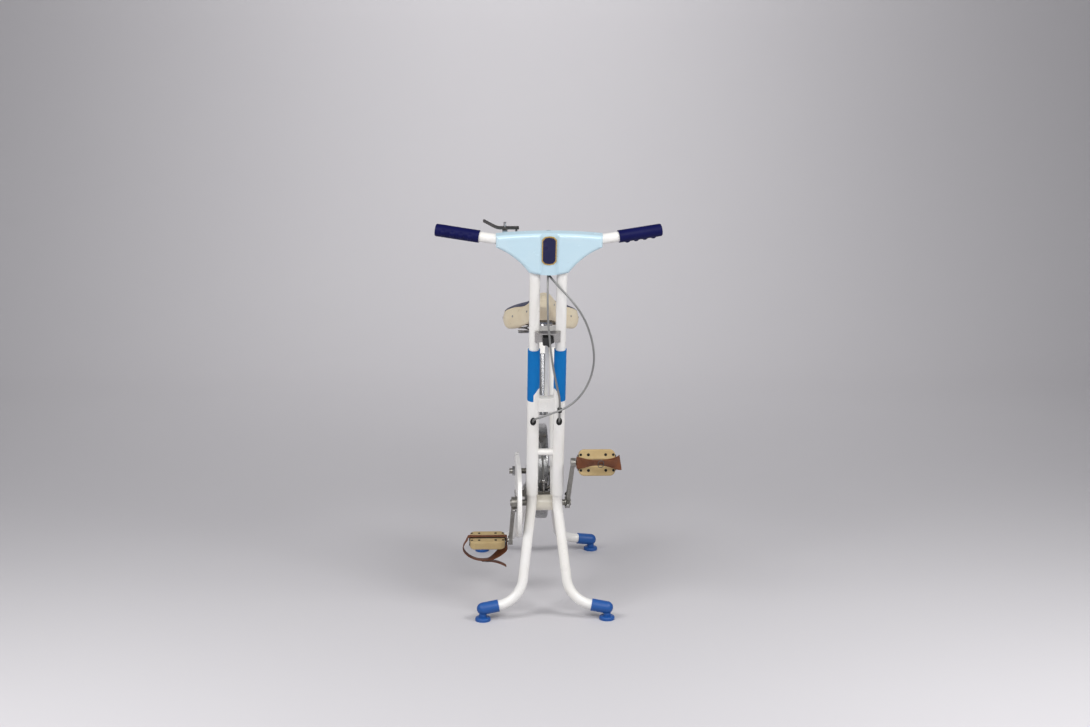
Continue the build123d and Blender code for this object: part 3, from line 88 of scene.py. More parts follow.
def smooth_path(points, steps, closed=False):
    """Points along a Catmull-Rom line through the given points."""
    count = len(points)
    result = []
    spans = count if closed else count - 1
    for span in range(spans):
        ends = []
        for shift in (-1, 0, 1, 2):
            index = span + shift
            ends.append(points[index % count] if closed else points[max(0, min(count - 1, index))])
        a, b, c, d = ends
        for step in range(steps):
            t = step / steps
            straight = 2 * b + (c - a) * t
            square = (2 * a - 5 * b + 4 * c - d) * t**2
            cube = (3 * b - a - 3 * c + d) * t**3
            result.append(0.5 * (straight + square + cube))
    if not closed:
        result.append(points[-1].copy())
    return result


# Materials
class Shader:
    """A Principled material whose colour, roughness and bump are built from noise at real scale."""

    def __init__(self, name, colour, roughness, metallic=0.0, specular=0.5):
        self.material = bpy.data.materials.new(name)
        self.material.use_nodes = True
        self.tree = self.material.node_tree
        self.surface = self.tree.nodes["Principled BSDF"]
        self.surface.inputs["Base Color"].default_value = (*colour, 1)
        self.surface.inputs["Roughness"].default_value = roughness
        self.surface.inputs["Metallic"].default_value = metallic
        self.surface.inputs["Specular IOR Level"].default_value = specular
        self.where = self.node("ShaderNodeTexCoord").outputs["Object"]
        self.colour_out = None
        self.base = colour

    def node(self, kind, **settings):
        made = self.tree.nodes.new(kind)
        for key, value in settings.items():
            setattr(made, key, value)
        return made

    def link(self, output, socket):
        self.tree.links.new(output, socket)

    def noise(self, scale, detail=4.0, roughness=0.55, stretch=None):
        texture = self.node("ShaderNodeTexNoise")
        texture.inputs["Scale"].default_value = scale
        texture.inputs["Detail"].default_value = detail
        texture.inputs["Roughness"].default_value = roughness
        if stretch is None:
            self.link(self.where, texture.inputs["Vector"])
        else:
            mapping = self.node("ShaderNodeMapping")
            mapping.inputs["Scale"].default_value = stretch
            self.link(self.where, mapping.inputs["Vector"])
            self.link(mapping.outputs["Vector"], texture.inputs["Vector"])
        return texture.outputs["Fac"]

    def cells(self, scale):
        texture = self.node("ShaderNodeTexVoronoi")
        texture.inputs["Scale"].default_value = scale
        self.link(self.where, texture.inputs["Vector"])
        return texture.outputs["Distance"]

    def spread(self, value, low, high, to_low=0.0, to_high=1.0):
        ranged = self.node("ShaderNodeMapRange")
        ranged.inputs["From Min"].default_value = low
        ranged.inputs["From Max"].default_value = high
        ranged.inputs["To Min"].default_value = to_low
        ranged.inputs["To Max"].default_value = to_high
        self.link(value, ranged.inputs["Value"])
        return ranged.outputs["Result"]

    def math(self, operation, first, second=None):
        made = self.node("ShaderNodeMath", operation=operation)
        for index, value in enumerate((first, second)):
            if value is None:
                continue
            if isinstance(value, (int, float)):
                made.inputs[index].default_value = value
            else:
                self.link(value, made.inputs[index])
        return made.outputs[0]

    def tint(self, mask, colour):
        mix = self.node("ShaderNodeMix", data_type="RGBA")
        colours = [socket for socket in mix.inputs if socket.type == "RGBA"]
        self.link(mask, mix.inputs["Factor"])
        if self.colour_out is None:
            colours[0].default_value = (*self.base, 1)
        else:
            self.link(self.colour_out, colours[0])
        colours[1].default_value = (*colour, 1)
        self.colour_out = [socket for socket in mix.outputs if socket.type == "RGBA"][0]
        self.link(self.colour_out, self.surface.inputs["Base Color"])
        return self

    def rough(self, value, low, high):
        self.link(self.spread(value, 0.3, 0.7, low, high), self.surface.inputs["Roughness"])
        return self

    def bump(self, height, distance, strength):
        made = self.node("ShaderNodeBump")
        made.inputs["Strength"].default_value = strength
        made.inputs["Distance"].default_value = distance
        self.link(height, made.inputs["Height"])
        if self.surface.inputs["Normal"].is_linked:
            self.link(self.surface.inputs["Normal"].links[0].from_socket, made.inputs["Normal"])
        self.link(made.outputs["Normal"], self.surface.inputs["Normal"])
        return self

    def coat(self, amount, roughness):
        self.surface.inputs["Coat Weight"].default_value = amount
        self.surface.inputs["Coat Roughness"].default_value = roughness
        return self


def enamel(name, colour, aged, chips=0.36):
    """Gloss paint with a faint orange peel, warmer patches and a few tiny chips."""
    paint = Shader(name, colour, 0.3)
    paint.tint(paint.spread(paint.noise(7, 5), 0.42, 0.75, 0.0, 0.6), aged)
    darker = [part * 0.82 for part in aged]
    paint.tint(paint.spread(paint.noise(48, 6, 0.7), 0.62, 0.74, 0.0, 0.35), darker)
    dots = paint.spread(paint.cells(95), 0.09, 0.05)
    patches = paint.spread(paint.noise(16), 0.6, 0.64)
    specks = paint.math("MULTIPLY", dots, patches)
    paint.tint(paint.math("MULTIPLY", specks, chips), (0.16, 0.13, 0.1))
    paint.rough(paint.noise(26, 5), 0.24, 0.42)
    paint.bump(paint.noise(420, 2), 0.0002, 0.12)
    return paint.coat(0.25, 0.18).material


def plastic(name, colour, worn, roughness, grain, grain_depth, gloss=0.0, specular=0.5):
    """Moulded plastic with worn patches and a fine grain."""
    moulded = Shader(name, colour, roughness, specular=specular)
    moulded.tint(moulded.spread(moulded.noise(18, 5), 0.45, 0.75, 0.0, 0.55), worn)
    darker = [part * 0.75 for part in worn]
    moulded.tint(moulded.spread(moulded.noise(130, 4, 0.7), 0.63, 0.72, 0.0, 0.3), darker)
    moulded.rough(moulded.noise(40, 5), roughness * 0.8, min(1.0, roughness * 1.3))
    moulded.bump(moulded.noise(grain, 3), 0.0004, grain_depth)
    return moulded.coat(gloss, 0.12).material


def metal(name, colour, roughness, dull, brush=None, pits=0.1, stains=0.5):
    """Metal with dull patches, stains, fine pits and, where given, brush marks along one axis."""
    plated = Shader(name, colour, roughness, 1.0)
    plated.tint(plated.spread(plated.noise(34, 6, 0.65), 0.48, 0.78, 0.0, 0.75), dull)
    spots = plated.spread(plated.noise(230, 4, 0.7), 0.64, 0.72, 0.0, stains)
    plated.tint(spots, [part * 0.5 for part in dull])
    plated.rough(plated.noise(60, 5), roughness * (1 - 0.6 * stains), roughness * (1 + 1.4 * stains))
    if brush:
        plated.bump(plated.noise(160, 3, 0.6, brush), 0.0003, 0.2)
    return plated.bump(plated.noise(600, 2), 0.0002, pits).material


def rubber(name, colour, dusty, grain=900):
    """Dull rubber with dusty patches."""
    soft = Shader(name, colour, 0.72, specular=0.3)
    soft.tint(soft.spread(soft.noise(26, 6, 0.65), 0.45, 0.75, 0.0, 0.65), dusty)
    soft.rough(soft.noise(50, 5), 0.6, 0.85)
    return soft.bump(soft.noise(grain, 3), 0.0004, 0.3).material


white_paint = enamel("ivory_enamel", (0.83, 0.815, 0.79), (0.79, 0.75, 0.67))
bracket_paint = enamel("ivory_enamel_aged", (0.83, 0.785, 0.68), (0.69, 0.6, 0.44), 0.7)
sleeve_blue = plastic("sleeve_blue", (0.001, 0.15, 0.45), (0.002, 0.17, 0.48), 0.6, 700, 0.15, specular=0.2)
foot_blue = plastic("foot_blue", (0.008, 0.08, 0.31), (0.016, 0.105, 0.35), 0.46, 500, 0.2)
grip_navy = plastic(
    "grip_navy", (0.003, 0.004, 0.058), (0.006, 0.008, 0.085), 0.5, 800, 0.25, specular=0.15
)
cowl_blue = plastic("cowl_pale_blue", (0.53, 0.71, 0.8), (0.58, 0.74, 0.81), 0.22, 300, 0.03, 0.5)
black_plastic = plastic("black_plastic", (0.014, 0.014, 0.015), (0.03, 0.03, 0.03), 0.42, 700, 0.2)
chrome = metal("chrome", (0.45, 0.45, 0.46), 0.17, (0.36, 0.355, 0.345), pits=0.0, stains=0.08)
old_chrome = metal("worn_chrome", (0.42, 0.41, 0.4), 0.22, (0.28, 0.26, 0.23))
steel = metal("dull_steel", (0.33, 0.32, 0.295), 0.36, (0.22, 0.195, 0.16), (1, 1, 0.05))
dark_steel = metal("dark_steel", (0.13, 0.125, 0.12), 0.34, (0.08, 0.072, 0.06))
wheel_steel = metal("flywheel_steel", (0.36, 0.36, 0.36), 0.26, (0.21, 0.2, 0.195), (0.05, 1, 1))
gold = metal("badge_gold", (0.66, 0.44, 0.14), 0.24, (0.45, 0.28, 0.08))
black_rubber = rubber("black_rubber", (0.014, 0.014, 0.014), (0.04, 0.038, 0.035))
cream_rubber = rubber("cream_tread", (0.5, 0.375, 0.19), (0.4, 0.27, 0.115), 500)
badge_enamel = plastic("badge_enamel", (0.012, 0.014, 0.06), (0.02, 0.02, 0.08), 0.3, 300, 0.02, 0.2, 0.2)
dial_print = plastic("dial_face", (0.82, 0.81, 0.77), (0.78, 0.76, 0.7), 0.5, 900, 0.05)
dial_ink = plastic("dial_ink", (0.01, 0.01, 0.012), (0.02, 0.02, 0.02), 0.55, 900, 0.05)
needle_red = plastic("needle_red", (0.55, 0.025, 0.012), (0.5, 0.03, 0.02), 0.4, 900, 0.05)
# Near-black rubber: painted shade, standing for the dark inside of the tread's screw holes
painted_hole_shade = rubber("painted_hole_shade", (0.006, 0.006, 0.006), (0.012, 0.011, 0.01))


def lens_material():
    clear = Shader("clear_lens", (0.95, 0.97, 0.98), 0.04)
    clear.surface.inputs["Transmission Weight"].default_value = 1.0
    clear.surface.inputs["IOR"].default_value = 1.46
    return clear.rough(clear.noise(60, 3), 0.02, 0.08).material


def casing_material():
    """Cable casing: close-wound grey wire under a thin worn jacket."""
    casing = Shader("cable_casing", (0.26, 0.26, 0.255), 0.42, 0.55)
    casing.tint(casing.spread(casing.noise(40, 5), 0.45, 0.72, 0.0, 0.6), (0.36, 0.355, 0.34))
    wound = casing.node("ShaderNodeTexWave", wave_type="BANDS", bands_direction="Z")
    wound.inputs["Scale"].default_value = 180.0
    casing.link(casing.where, wound.inputs["Vector"])
    casing.rough(casing.noise(90, 4), 0.34, 0.55)
    return casing.bump(wound.outputs["Fac"], 0.0003, 0.4).material


def leather_material():
    hide = Shader("strap_leather", (0.165, 0.052, 0.017), 0.5, specular=0.35)
    hide.tint(hide.spread(hide.noise(38, 6, 0.65), 0.4, 0.72, 0.0, 0.8), (0.1, 0.032, 0.014))
    hide.tint(hide.spread(hide.noise(150, 5, 0.7), 0.58, 0.72, 0.0, 0.5), (0.3, 0.12, 0.055))
    hide.rough(hide.noise(60, 5), 0.4, 0.7)
    hide.bump(hide.cells(1500), 0.0004, 0.35)
    return hide.bump(hide.noise(300, 4), 0.0005, 0.25).material


# Outline of the saddle's navy panel: place behind the bracket and half width
saddle_half_widths = (
    (0.052, 0.004), (0.06, 0.016), (0.095, 0.03), (0.16, 0.0635), (0.19, 0.0835),
    (0.215, 0.0955), (0.245, 0.0865), (0.262, 0.061), (0.268, 0.03),
)
panel_front = bracket.y + saddle_half_widths[0][0]
panel_rear = bracket.y + saddle_half_widths[-1][0]
panel_edge = smooth_path([Vector(pair) for pair in saddle_half_widths], 8)


def panel_width(share):
    """Half width of the saddle's top panel, from its front end to its rear."""
    behind = panel_front + share * (panel_rear - panel_front) - bracket.y
    for near, far in zip(panel_edge, panel_edge[1:]):
        if behind <= far.x:
            return near.y + (far.y - near.y) * (behind - near.x) / (far.x - near.x)
    return panel_edge[-1].y


def saddle_material():
    """Cream vinyl sides and nose with a navy top panel whose edge follows the saddle's outline."""
    vinyl = Shader("saddle_vinyl", (0.8, 0.7, 0.52), 0.4, specular=0.3)
    vinyl.tint(vinyl.spread(vinyl.noise(17, 6), 0.4, 0.75, 0.0, 0.75), (0.7, 0.57, 0.38))
    vinyl.tint(vinyl.spread(vinyl.noise(75, 6, 0.7), 0.6, 0.72, 0.0, 0.5), (0.4, 0.29, 0.17))
    parts = vinyl.node("ShaderNodeSeparateXYZ")
    vinyl.link(vinyl.where, parts.inputs["Vector"])
    x, y = parts.outputs[:2]
    across = vinyl.math("ABSOLUTE", x)
    wide = vinyl.node("ShaderNodeFloatCurve")
    place = vinyl.spread(y, panel_front, panel_rear)
    vinyl.link(place, wide.inputs["Value"])
    curve = wide.mapping.curves[0]
    curve_scale = 10.0
    curve_steps = 24
    curve.points[0].location = (0.0, panel_width(0.0) * curve_scale)
    curve.points[1].location = (1.0, panel_width(1.0) * curve_scale)
    for step in range(1, curve_steps):
        share = step / curve_steps
        curve.points.new(share, panel_width(share) * curve_scale)
    wide.mapping.update()
    edge = vinyl.math("SUBTRACT", vinyl.math("DIVIDE", wide.outputs["Value"], curve_scale), across)
    edge_soft = 0.0004
    end_soft = 0.001
    inside = vinyl.spread(edge, -edge_soft, edge_soft)
    inside = vinyl.math("MULTIPLY", inside, vinyl.spread(y, panel_front - end_soft, panel_front))
    inside = vinyl.math("MULTIPLY", inside, vinyl.spread(y, panel_rear, panel_rear - end_soft))
    upward = vinyl.node("ShaderNodeSeparateXYZ")
    vinyl.link(vinyl.node("ShaderNodeNewGeometry").outputs["Normal"], upward.inputs["Vector"])
    top = vinyl.math("MULTIPLY", inside, vinyl.spread(upward.outputs[2], 0.05, 0.1))
    vinyl.tint(top, (0.022, 0.028, 0.085))
    faded = vinyl.spread(vinyl.noise(60, 5), 0.55, 0.75, 0.0, 0.4)
    vinyl.tint(vinyl.math("MULTIPLY", top, faded), (0.07, 0.08, 0.15))
    vinyl.rough(vinyl.noise(45, 5), 0.42, 0.62)
    vinyl.bump(vinyl.cells(900), 0.0004, 0.25)
    return vinyl.coat(0.05, 0.4).material


lens = lens_material()
casing = casing_material()
leather = leather_material()
saddle_vinyl = saddle_material()

finishes = {
    white_paint: (
        "column_tubes column_bridge column_brace clamp_stay seat_tubes seat_collar front_legs rear_legs "
        "chain_guard bearing_plates riser_tubes handlebar"
    ),
    bracket_paint: "bracket_shell",
    sleeve_blue: "column_sleeves",
    foot_blue: "feet",
    grip_navy: "grips",
    cowl_blue: "cowl dash",
    black_plastic: "clamp_knob speedometer_case speedometer_bezel",
    chrome: "seat_post lever_clamp seat_binder_bolt shaft_nuts",
    dark_steel: "brake_lever pedal_left pedal_right",
    old_chrome: (
        "saddle_clamp saddle_frame saddle_springs brake_bridge brake_arm_left brake_arm_right clamp_plate"
    ),
    steel: (
        "bracket_cups guard_studs chain spindle chainwheel cranks cotter_pins pedal_axles flywheel_shaft "
        "sprocket saddle_pan"
    ),
    wheel_steel: "flywheel",
    black_rubber: "cable_fittings brake_pad_left brake_pad_right",
    cream_rubber: "pedal_blocks_left pedal_blocks_right",
    casing: "brake_cable speedometer_cable",
    dial_print: "speedometer_dial",
    needle_red: "speedometer_needle",
    lens: "speedometer_lens",
    leather: "pedal_strap_left pedal_strap_right",
    saddle_vinyl: "saddle_pad",
}
for finish, names in finishes.items():
    for name in names.split():
        mesh = nodes[name].data
        mesh.materials.clear()
        mesh.materials.append(finish)


# Shared mesh tools
def mesh_from(name, bm):
    bmesh.ops.recalc_face_normals(bm, faces=bm.faces)
    mesh = bpy.data.meshes.new(name)
    bm.to_mesh(mesh)
    bm.free()
    return mesh


def shade_smooth(mesh):
    mesh.polygons.foreach_set("use_smooth", [True] * len(mesh.polygons))


def add_object(name, bm, finish, body, smooth=True):
    """Makes a piece from a mesh that is being built, and ties it to its body."""
    mesh = mesh_from(name, bm)
    piece = bpy.data.objects.new(name, mesh)
    scene.collection.objects.link(piece)
    mesh.materials.append(finish)
    if smooth:
        shade_smooth(mesh)
    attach(piece, body)
    return piece


def bevelled(piece, width):
    modifier = piece.modifiers.new("round", "BEVEL")
    modifier.width = width
    modifier.segments = 3
    modifier.limit_method = "ANGLE"


def subdivided(piece):
    modifier = piece.modifiers.new("fine", "SUBSURF")
    modifier.render_levels = 1
    modifier.levels = 1


def skin(bm, rings, closed):
    """Joins rings of points with faces, and caps both ends of an open row."""
    count = len(rings)
    sides = len(rings[0])
    for index in range(count if closed else count - 1):
        first = rings[index]
        second = rings[(index + 1) % count]
        for side in range(sides):
            after = (side + 1) % sides
            bm.faces.new((first[side], first[after], second[after], second[side]))
    if not closed:
        bm.faces.new(rings[0])
        bm.faces.new(list(reversed(rings[-1])))


def tube_rings(bm, path, radius, sides, closed=False):
    """Adds a round tube along a path, with a frame carried from ring to ring."""
    count = len(path)
    normal = None
    rings = []
    for index, place in enumerate(path):
        before = path[index - 1] if index or closed else place
        after = path[(index + 1) % count] if index < count - 1 or closed else place
        heading = (after - before).normalized()
        if normal is None:
            guess = Vector((0, 0, 1)) if abs(heading.z) < 0.9 else Vector((1, 0, 0))
            normal = heading.cross(guess).normalized()
        normal = (normal - heading * normal.dot(heading)).normalized()
        other = heading.cross(normal)
        ring = []
        for side in range(sides):
            angle = 2 * math.pi * side / sides
            point = place + normal * radius * math.cos(angle)
            ring.append(bm.verts.new(point + other * radius * math.sin(angle)))
        rings.append(ring)
    skin(bm, rings, closed)


def turned(bm, profile, matrix, sides=28):
    """Adds a solid of revolution: profile pairs are radius and height along the matrix's own Z."""
    rings = []
    for radius, height in profile:
        ring = []
        for side in range(sides):
            angle = 2 * math.pi * side / sides
            point = Vector((radius * math.cos(angle), radius * math.sin(angle), height))
            ring.append(bm.verts.new(matrix @ point))
        rings.append(ring)
    skin(bm, rings, False)


def facing(place, direction):
    return Matrix.Translation(place) @ direction.to_track_quat("Z", "Y").to_matrix().to_4x4()


def slab(bm, outline, thickness, matrix):
    """Adds a flat plate: the outline lies in the matrix's XY plane and the plate rises along its Z."""
    low = [bm.verts.new(matrix @ Vector((x, y, 0))) for x, y in outline]
    high = [bm.verts.new(matrix @ Vector((x, y, thickness))) for x, y in outline]
    bm.faces.new(list(reversed(low)))
    bm.faces.new(high)
    for index in range(len(outline)):
        after = (index + 1) % len(outline)
        bm.faces.new((low[index], low[after], high[after], high[index]))


# Saddle
cover_voxel = 0.004
cover_swell = 0.004
cover_held_below = 0.752
cloth_frames = 15
piping_steps = 48
piping_radius = 0.0013
# Each rivet's place along Y and Z, on both sides of the saddle
rivet_places = ((0.04, 0.735), (0.1, 0.722), (-0.02, 0.757), (-0.075, 0.783))
rivet_profile = ((0.0032, -0.0008), (0.003, 0.0004), (0.0018, 0.0012), (0.0004, 0.0014))
spring_turns = 5
spring_radius = 0.014
spring_wire = 0.002
spring_half_gap = 0.046


def grown_saddle():
    """The saddle's cover: the CAD pad remeshed, smoothed and swollen a little."""
    mesh = nodes["saddle_pad"].data.copy()
    pad = bpy.data.objects.new("saddle_cover", mesh)
    scene.collection.objects.link(pad)
    bpy.context.view_layer.objects.active = pad
    remesh = pad.modifiers.new("remesh", "REMESH")
    remesh.mode = "VOXEL"
    remesh.voxel_size = cover_voxel
    smooth = pad.modifiers.new("smooth", "SMOOTH")
    smooth.factor = 0.5
    smooth.iterations = 12
    with bpy.context.temp_override(object=pad, active_object=pad):
        bpy.ops.object.modifier_apply(modifier="remesh")
        bpy.ops.object.modifier_apply(modifier="smooth")
    swell(pad, cover_swell)
    subdivided(pad)
    mesh.materials.clear()
    mesh.materials.append(saddle_vinyl)
    shade_smooth(mesh)
    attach(pad, "saddle")
    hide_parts("saddle_pad")
    return pad


def swell(pad, cap):
    """Presses the cover outwards a little with a short cloth run; no point moves more than the cap."""
    start = [vertex.co.copy() for vertex in pad.data.vertices]
    group = pad.vertex_groups.new(name="held")
    hollow = Vector((0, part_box("saddle_springs")[0].y, 0))
    held = []
    for vertex in pad.data.vertices:
        inward = (vertex.co - hollow).to_2d().dot(vertex.normal.to_2d()) < 0
        if vertex.co.z < cover_held_below and (inward or vertex.normal.z < -0.2):
            held.append(vertex.index)
    group.add(held, 1.0, "REPLACE")
    cloth = pad.modifiers.new("cloth", "CLOTH")
    cloth.settings.use_pressure = True
    cloth.settings.uniform_pressure_force = 3.0
    cloth.settings.effector_weights.gravity = 0
    cloth.settings.vertex_group_mass = "held"
    cloth.settings.tension_stiffness = 25
    cloth.settings.compression_stiffness = 25
    for step in range(cloth_frames):
        scene.frame_set(step + 1)
    with bpy.context.temp_override(object=pad, active_object=pad):
        bpy.ops.object.modifier_apply(modifier="cloth")
    scene.frame_set(1)
    for vertex, before in zip(pad.data.vertices, start):
        move = vertex.co - before
        if move.length > cap:
            vertex.co = before + move * (cap / move.length)


def saddle_piping(pad):
    """A thin welt laid on the cover along the navy panel's edge."""
    tree = BVHTree.FromObject(pad, bpy.context.evaluated_depsgraph_get())
    bm = bmesh.new()
    line = []
    for side in (1, -1):
        shares = [step / piping_steps for step in range(piping_steps + 1)]
        if side < 0:
            shares.reverse()
        for share in shares:
            y = panel_front + share * (panel_rear - panel_front)
            hit = tree.ray_cast(Vector((side * panel_width(share), y, 0.9)), Vector((0, 0, -1)))[0]
            if hit is not None:
                line.append(hit + Vector((0, 0, 0.0004)))
    tube_rings(bm, smooth_path(line, 2, closed=True), piping_radius, 8, closed=True)
    add_object("saddle_piping", bm, saddle_vinyl, "saddle")


def saddle_rivets(pad):
    """Round rivet heads on both sides of the cover."""
    tree = BVHTree.FromObject(pad, bpy.context.evaluated_depsgraph_get())
    bm = bmesh.new()
    for side in (1, -1):
        for y, z in rivet_places:
            start = Vector((side * 0.2, y, z))
            hit, normal = tree.ray_cast(start, Vector((-side, 0, 0)))[:2]
            if hit is not None:
                turned(bm, rivet_profile, facing(hit, normal), 14)
    add_object("saddle_rivets", bm, old_chrome, "saddle")


def saddle_springs():
    """The two coil springs, wound inside the space of the CAD ones."""
    low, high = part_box("saddle_springs")
    bm = bmesh.new()
    middle_y = (low.y + high.y) / 2
    steps = spring_turns * 36
    for side in (1, -1):
        path = []
        for step in range(steps + 1):
            angle = 2 * math.pi * spring_turns * step / steps
            across = side * spring_half_gap + spring_radius * math.cos(angle)
            behind = middle_y + spring_radius * math.sin(angle)
            rise = low.z + spring_wire + (high.z - low.z - 2 * spring_wire) * step / steps
            path.append(Vector((across, behind, rise)))
        tube_rings(bm, path, spring_wire, 12)
    springs = add_object("saddle_coils", bm, old_chrome, "saddle")
    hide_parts("saddle_springs")


# Pedals
def strap_band(bm, rows, thickness, matrix, closed):
    """Adds a flat band with softened edges; a row is a place across and above the tread, roll and width."""
    count = len(rows)
    places = [Vector((row[0], 0, row[1])) for row in rows]
    rings = []
    for index, row in enumerate(rows):
        before = places[index - 1] if index or closed else places[index]
        after = places[(index + 1) % count] if index < count - 1 or closed else places[index]
        heading = (after - before).normalized()
        out = Vector((heading.z, 0, -heading.x))
        roll, half = row[2], row[3] / 2
        flat = Vector((0, math.cos(roll), 0)) + out * math.sin(roll)
        thin = (out * math.cos(roll) - Vector((0, math.sin(roll), 0))) * thickness / 2
        soft = half - thickness * 0.35
        corners = (
            (-half, -0.4), (-soft, -1), (soft, -1), (half, -0.4),
            (half, 0.4), (soft, 1), (-soft, 1), (-half, 0.4),
        )
        ring = [places[index] + flat * wide + thin * deep for wide, deep in corners]
        rings.append([bm.verts.new(matrix @ corner) for corner in ring])
    skin(bm, rings, closed)


# Each strap's middle line: place across and above the tread, roll in degrees and width
strap_under = (
    (-0.0482, -0.0126, 0, 0.014), (-0.025, -0.0126, 0, 0.01), (0.025, -0.0126, 0, 0.01),
    (0.0478, -0.0124, 0, 0.014), (0.0525, -0.005, 0, 0.021),
)
strap_over = {
    "left": (
        (0.0548, 0.008, -4, 0.031), (0.0568, 0.0195, -9, 0.037), (0.053, 0.0305, 2, 0.037),
        (0.041, 0.0405, 26, 0.032), (0.022, 0.0475, 46, 0.025), (0.0, 0.049, 52, 0.022),
        (-0.02, 0.0472, 48, 0.024), (-0.037, 0.0375, 28, 0.029), (-0.0485, 0.0235, 10, 0.031),
        (-0.0505, 0.0125, 0, 0.029), (-0.0503, 0.0, 0, 0.024), (-0.0498, -0.008, 0, 0.018),
    ),
    "right": (
        (0.0585, 0.006, 6, 0.024), (0.0635, 0.0185, 3, 0.024), (0.0595, 0.0325, -4, 0.024),
        (0.0455, 0.0465, -9, 0.024), (0.0245, 0.0555, -13, 0.024), (0.0, 0.056, -10, 0.024),
        (-0.016, 0.0485, 8, 0.024), (-0.032, 0.0355, 30, 0.024), (-0.0445, 0.0225, 38, 0.024),
        (-0.049, 0.0125, 16, 0.022), (-0.0498, 0.0, 5, 0.02), (-0.0496, -0.008, 0, 0.018),
    ),
}
strap_tails = {
    "left": (
        (-0.012, 0.0532, -51, 0.019), (0.004, 0.0536, -51, 0.019), (0.02, 0.0526, -48, 0.019),
        (0.035, 0.0478, -36, 0.019), (0.046, 0.0412, -20, 0.018),
    ),
    "right": (
        (0.016, 0.0592, -12, 0.0195), (-0.002, 0.06, -11, 0.0195), (-0.016, 0.0612, -9, 0.0195),
        (-0.031, 0.0655, -7, 0.019), (-0.043, 0.0715, -7, 0.019), (-0.0495, 0.0755, -7, 0.018),
    ),
}
# Each buckle's place across and above the tread, roll in degrees and lift off the strap
buckle_places = {"left": (0.006, 0.049, 51, 0.0043), "right": (0.0, 0.0588, -11, 0.0)}
strap_thickness = 0.0024
tail_thickness = 0.002
buckle_half_wide = 0.0055
buckle_half_tall = 0.0105
buckle_wire = 0.0009
buckle_pin_wire = 0.0008
# Tread screws: place across the block and head radius
tread_screws = ((-0.0405, 0.0033), (-0.0215, 0.0037), (0.0215, 0.0037), (0.0405, 0.0033))
tread_row = 0.0195
tread_face = 0.0108


def strap_rows(table, side):
    return [Vector((side * x, z, side * math.radians(roll), width)) for x, z, roll, width in table]


def pedal_strap(name):
    side = pedals[name][0]
    matrix = pedal_matrix(name)
    bm = bmesh.new()
    loop = strap_rows(strap_under + strap_over[name], side)
    tail = strap_rows(strap_tails[name], side)
    strap_band(bm, smooth_path(loop, 6, closed=True), strap_thickness, matrix, True)
    strap_band(bm, smooth_path(tail, 6), tail_thickness, matrix, False)
    strap = add_object(f"strap_{name}", bm, leather, f"pedal_{name}")
    subdivided(strap)
    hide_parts(f"pedal_strap_{name}")
    buckle(name, matrix, side)


def buckle(name, matrix, side):
    across, above, roll, lift = buckle_places[name]
    place = matrix @ Matrix.Translation((side * across, 0, above))
    place = place @ Matrix.Rotation(math.radians(roll), 4, "X")
    place = place @ Matrix.Translation((0, 0, lift))
    wide, tall = buckle_half_wide, buckle_half_tall
    bm = bmesh.new()
    corners = ((-wide, -tall), (wide, -tall), (wide, tall), (-wide, tall))
    ring = [place @ Vector((x, y, 0)) for x, y in corners]
    tube_rings(bm, smooth_path(ring, 6, closed=True), buckle_wire, 8, closed=True)
    pin = [place @ Vector(point) for point in ((-wide, 0, 0), (0, 0, 0.0006), (wide, 0, 0.0002))]
    tube_rings(bm, pin, buckle_pin_wire, 8)
    add_object(f"buckle_{name}", bm, dark_steel, f"pedal_{name}")


# Screw heads in the tread blocks, coloured near-black as painted shade of their holes
def block_screws(name):
    matrix = pedal_matrix(name)
    bm = bmesh.new()
    for row in (-1, 1):
        for face in (-1, 1):
            for across, radius in tread_screws:
                place = matrix @ Vector((across, row * tread_row, face * tread_face))
                out = matrix.to_3x3() @ Vector((0, 0, face))
                head = ((radius, -0.001), (radius, 0.0004), (radius * 0.76, 0.0009), (0.0004, 0.001))
                turned(bm, head, facing(place, out), 16)
    add_object(f"block_screws_{name}", bm, painted_hole_shade, f"pedal_{name}")


# Badge on the cowl
def badge():
    """A bare enamel plate with a gold rim."""
    half, tall, point = 0.0172, 0.036, 0.009
    inset, crown = 0.006, 0.002
    outline = (
        (-half, -tall + point), (-half + inset, -tall + crown), (0, -tall), (half - inset, -tall + crown),
        (half, -tall + point), (half, tall - point), (half - inset, tall - crown), (0, tall),
        (-half + inset, tall - crown), (-half, tall - point),
    )
    place = on_column(0, -0.016, bar_along - 0.0225)
    matrix = Matrix.Translation(place) @ column_turn @ Matrix.Rotation(math.pi / 2, 4, "X")
    bm = bmesh.new()
    slab(bm, outline, 0.0016, matrix)
    plate = add_object("badge_rim", bm, gold, "handlebar", False)
    bevelled(plate, 0.0006)
    bm = bmesh.new()
    slab(bm, [(x * 0.86, y * 0.92) for x, y in outline], 0.0021, matrix)
    field = add_object("badge_field", bm, badge_enamel, "handlebar", False)
    bevelled(field, 0.0005)


# Speedometer face
mark_count = 27
marks_per_number = 5
number_ring = 0.0122


def mark_angle(step):
    return math.radians(130 - 10 * step)


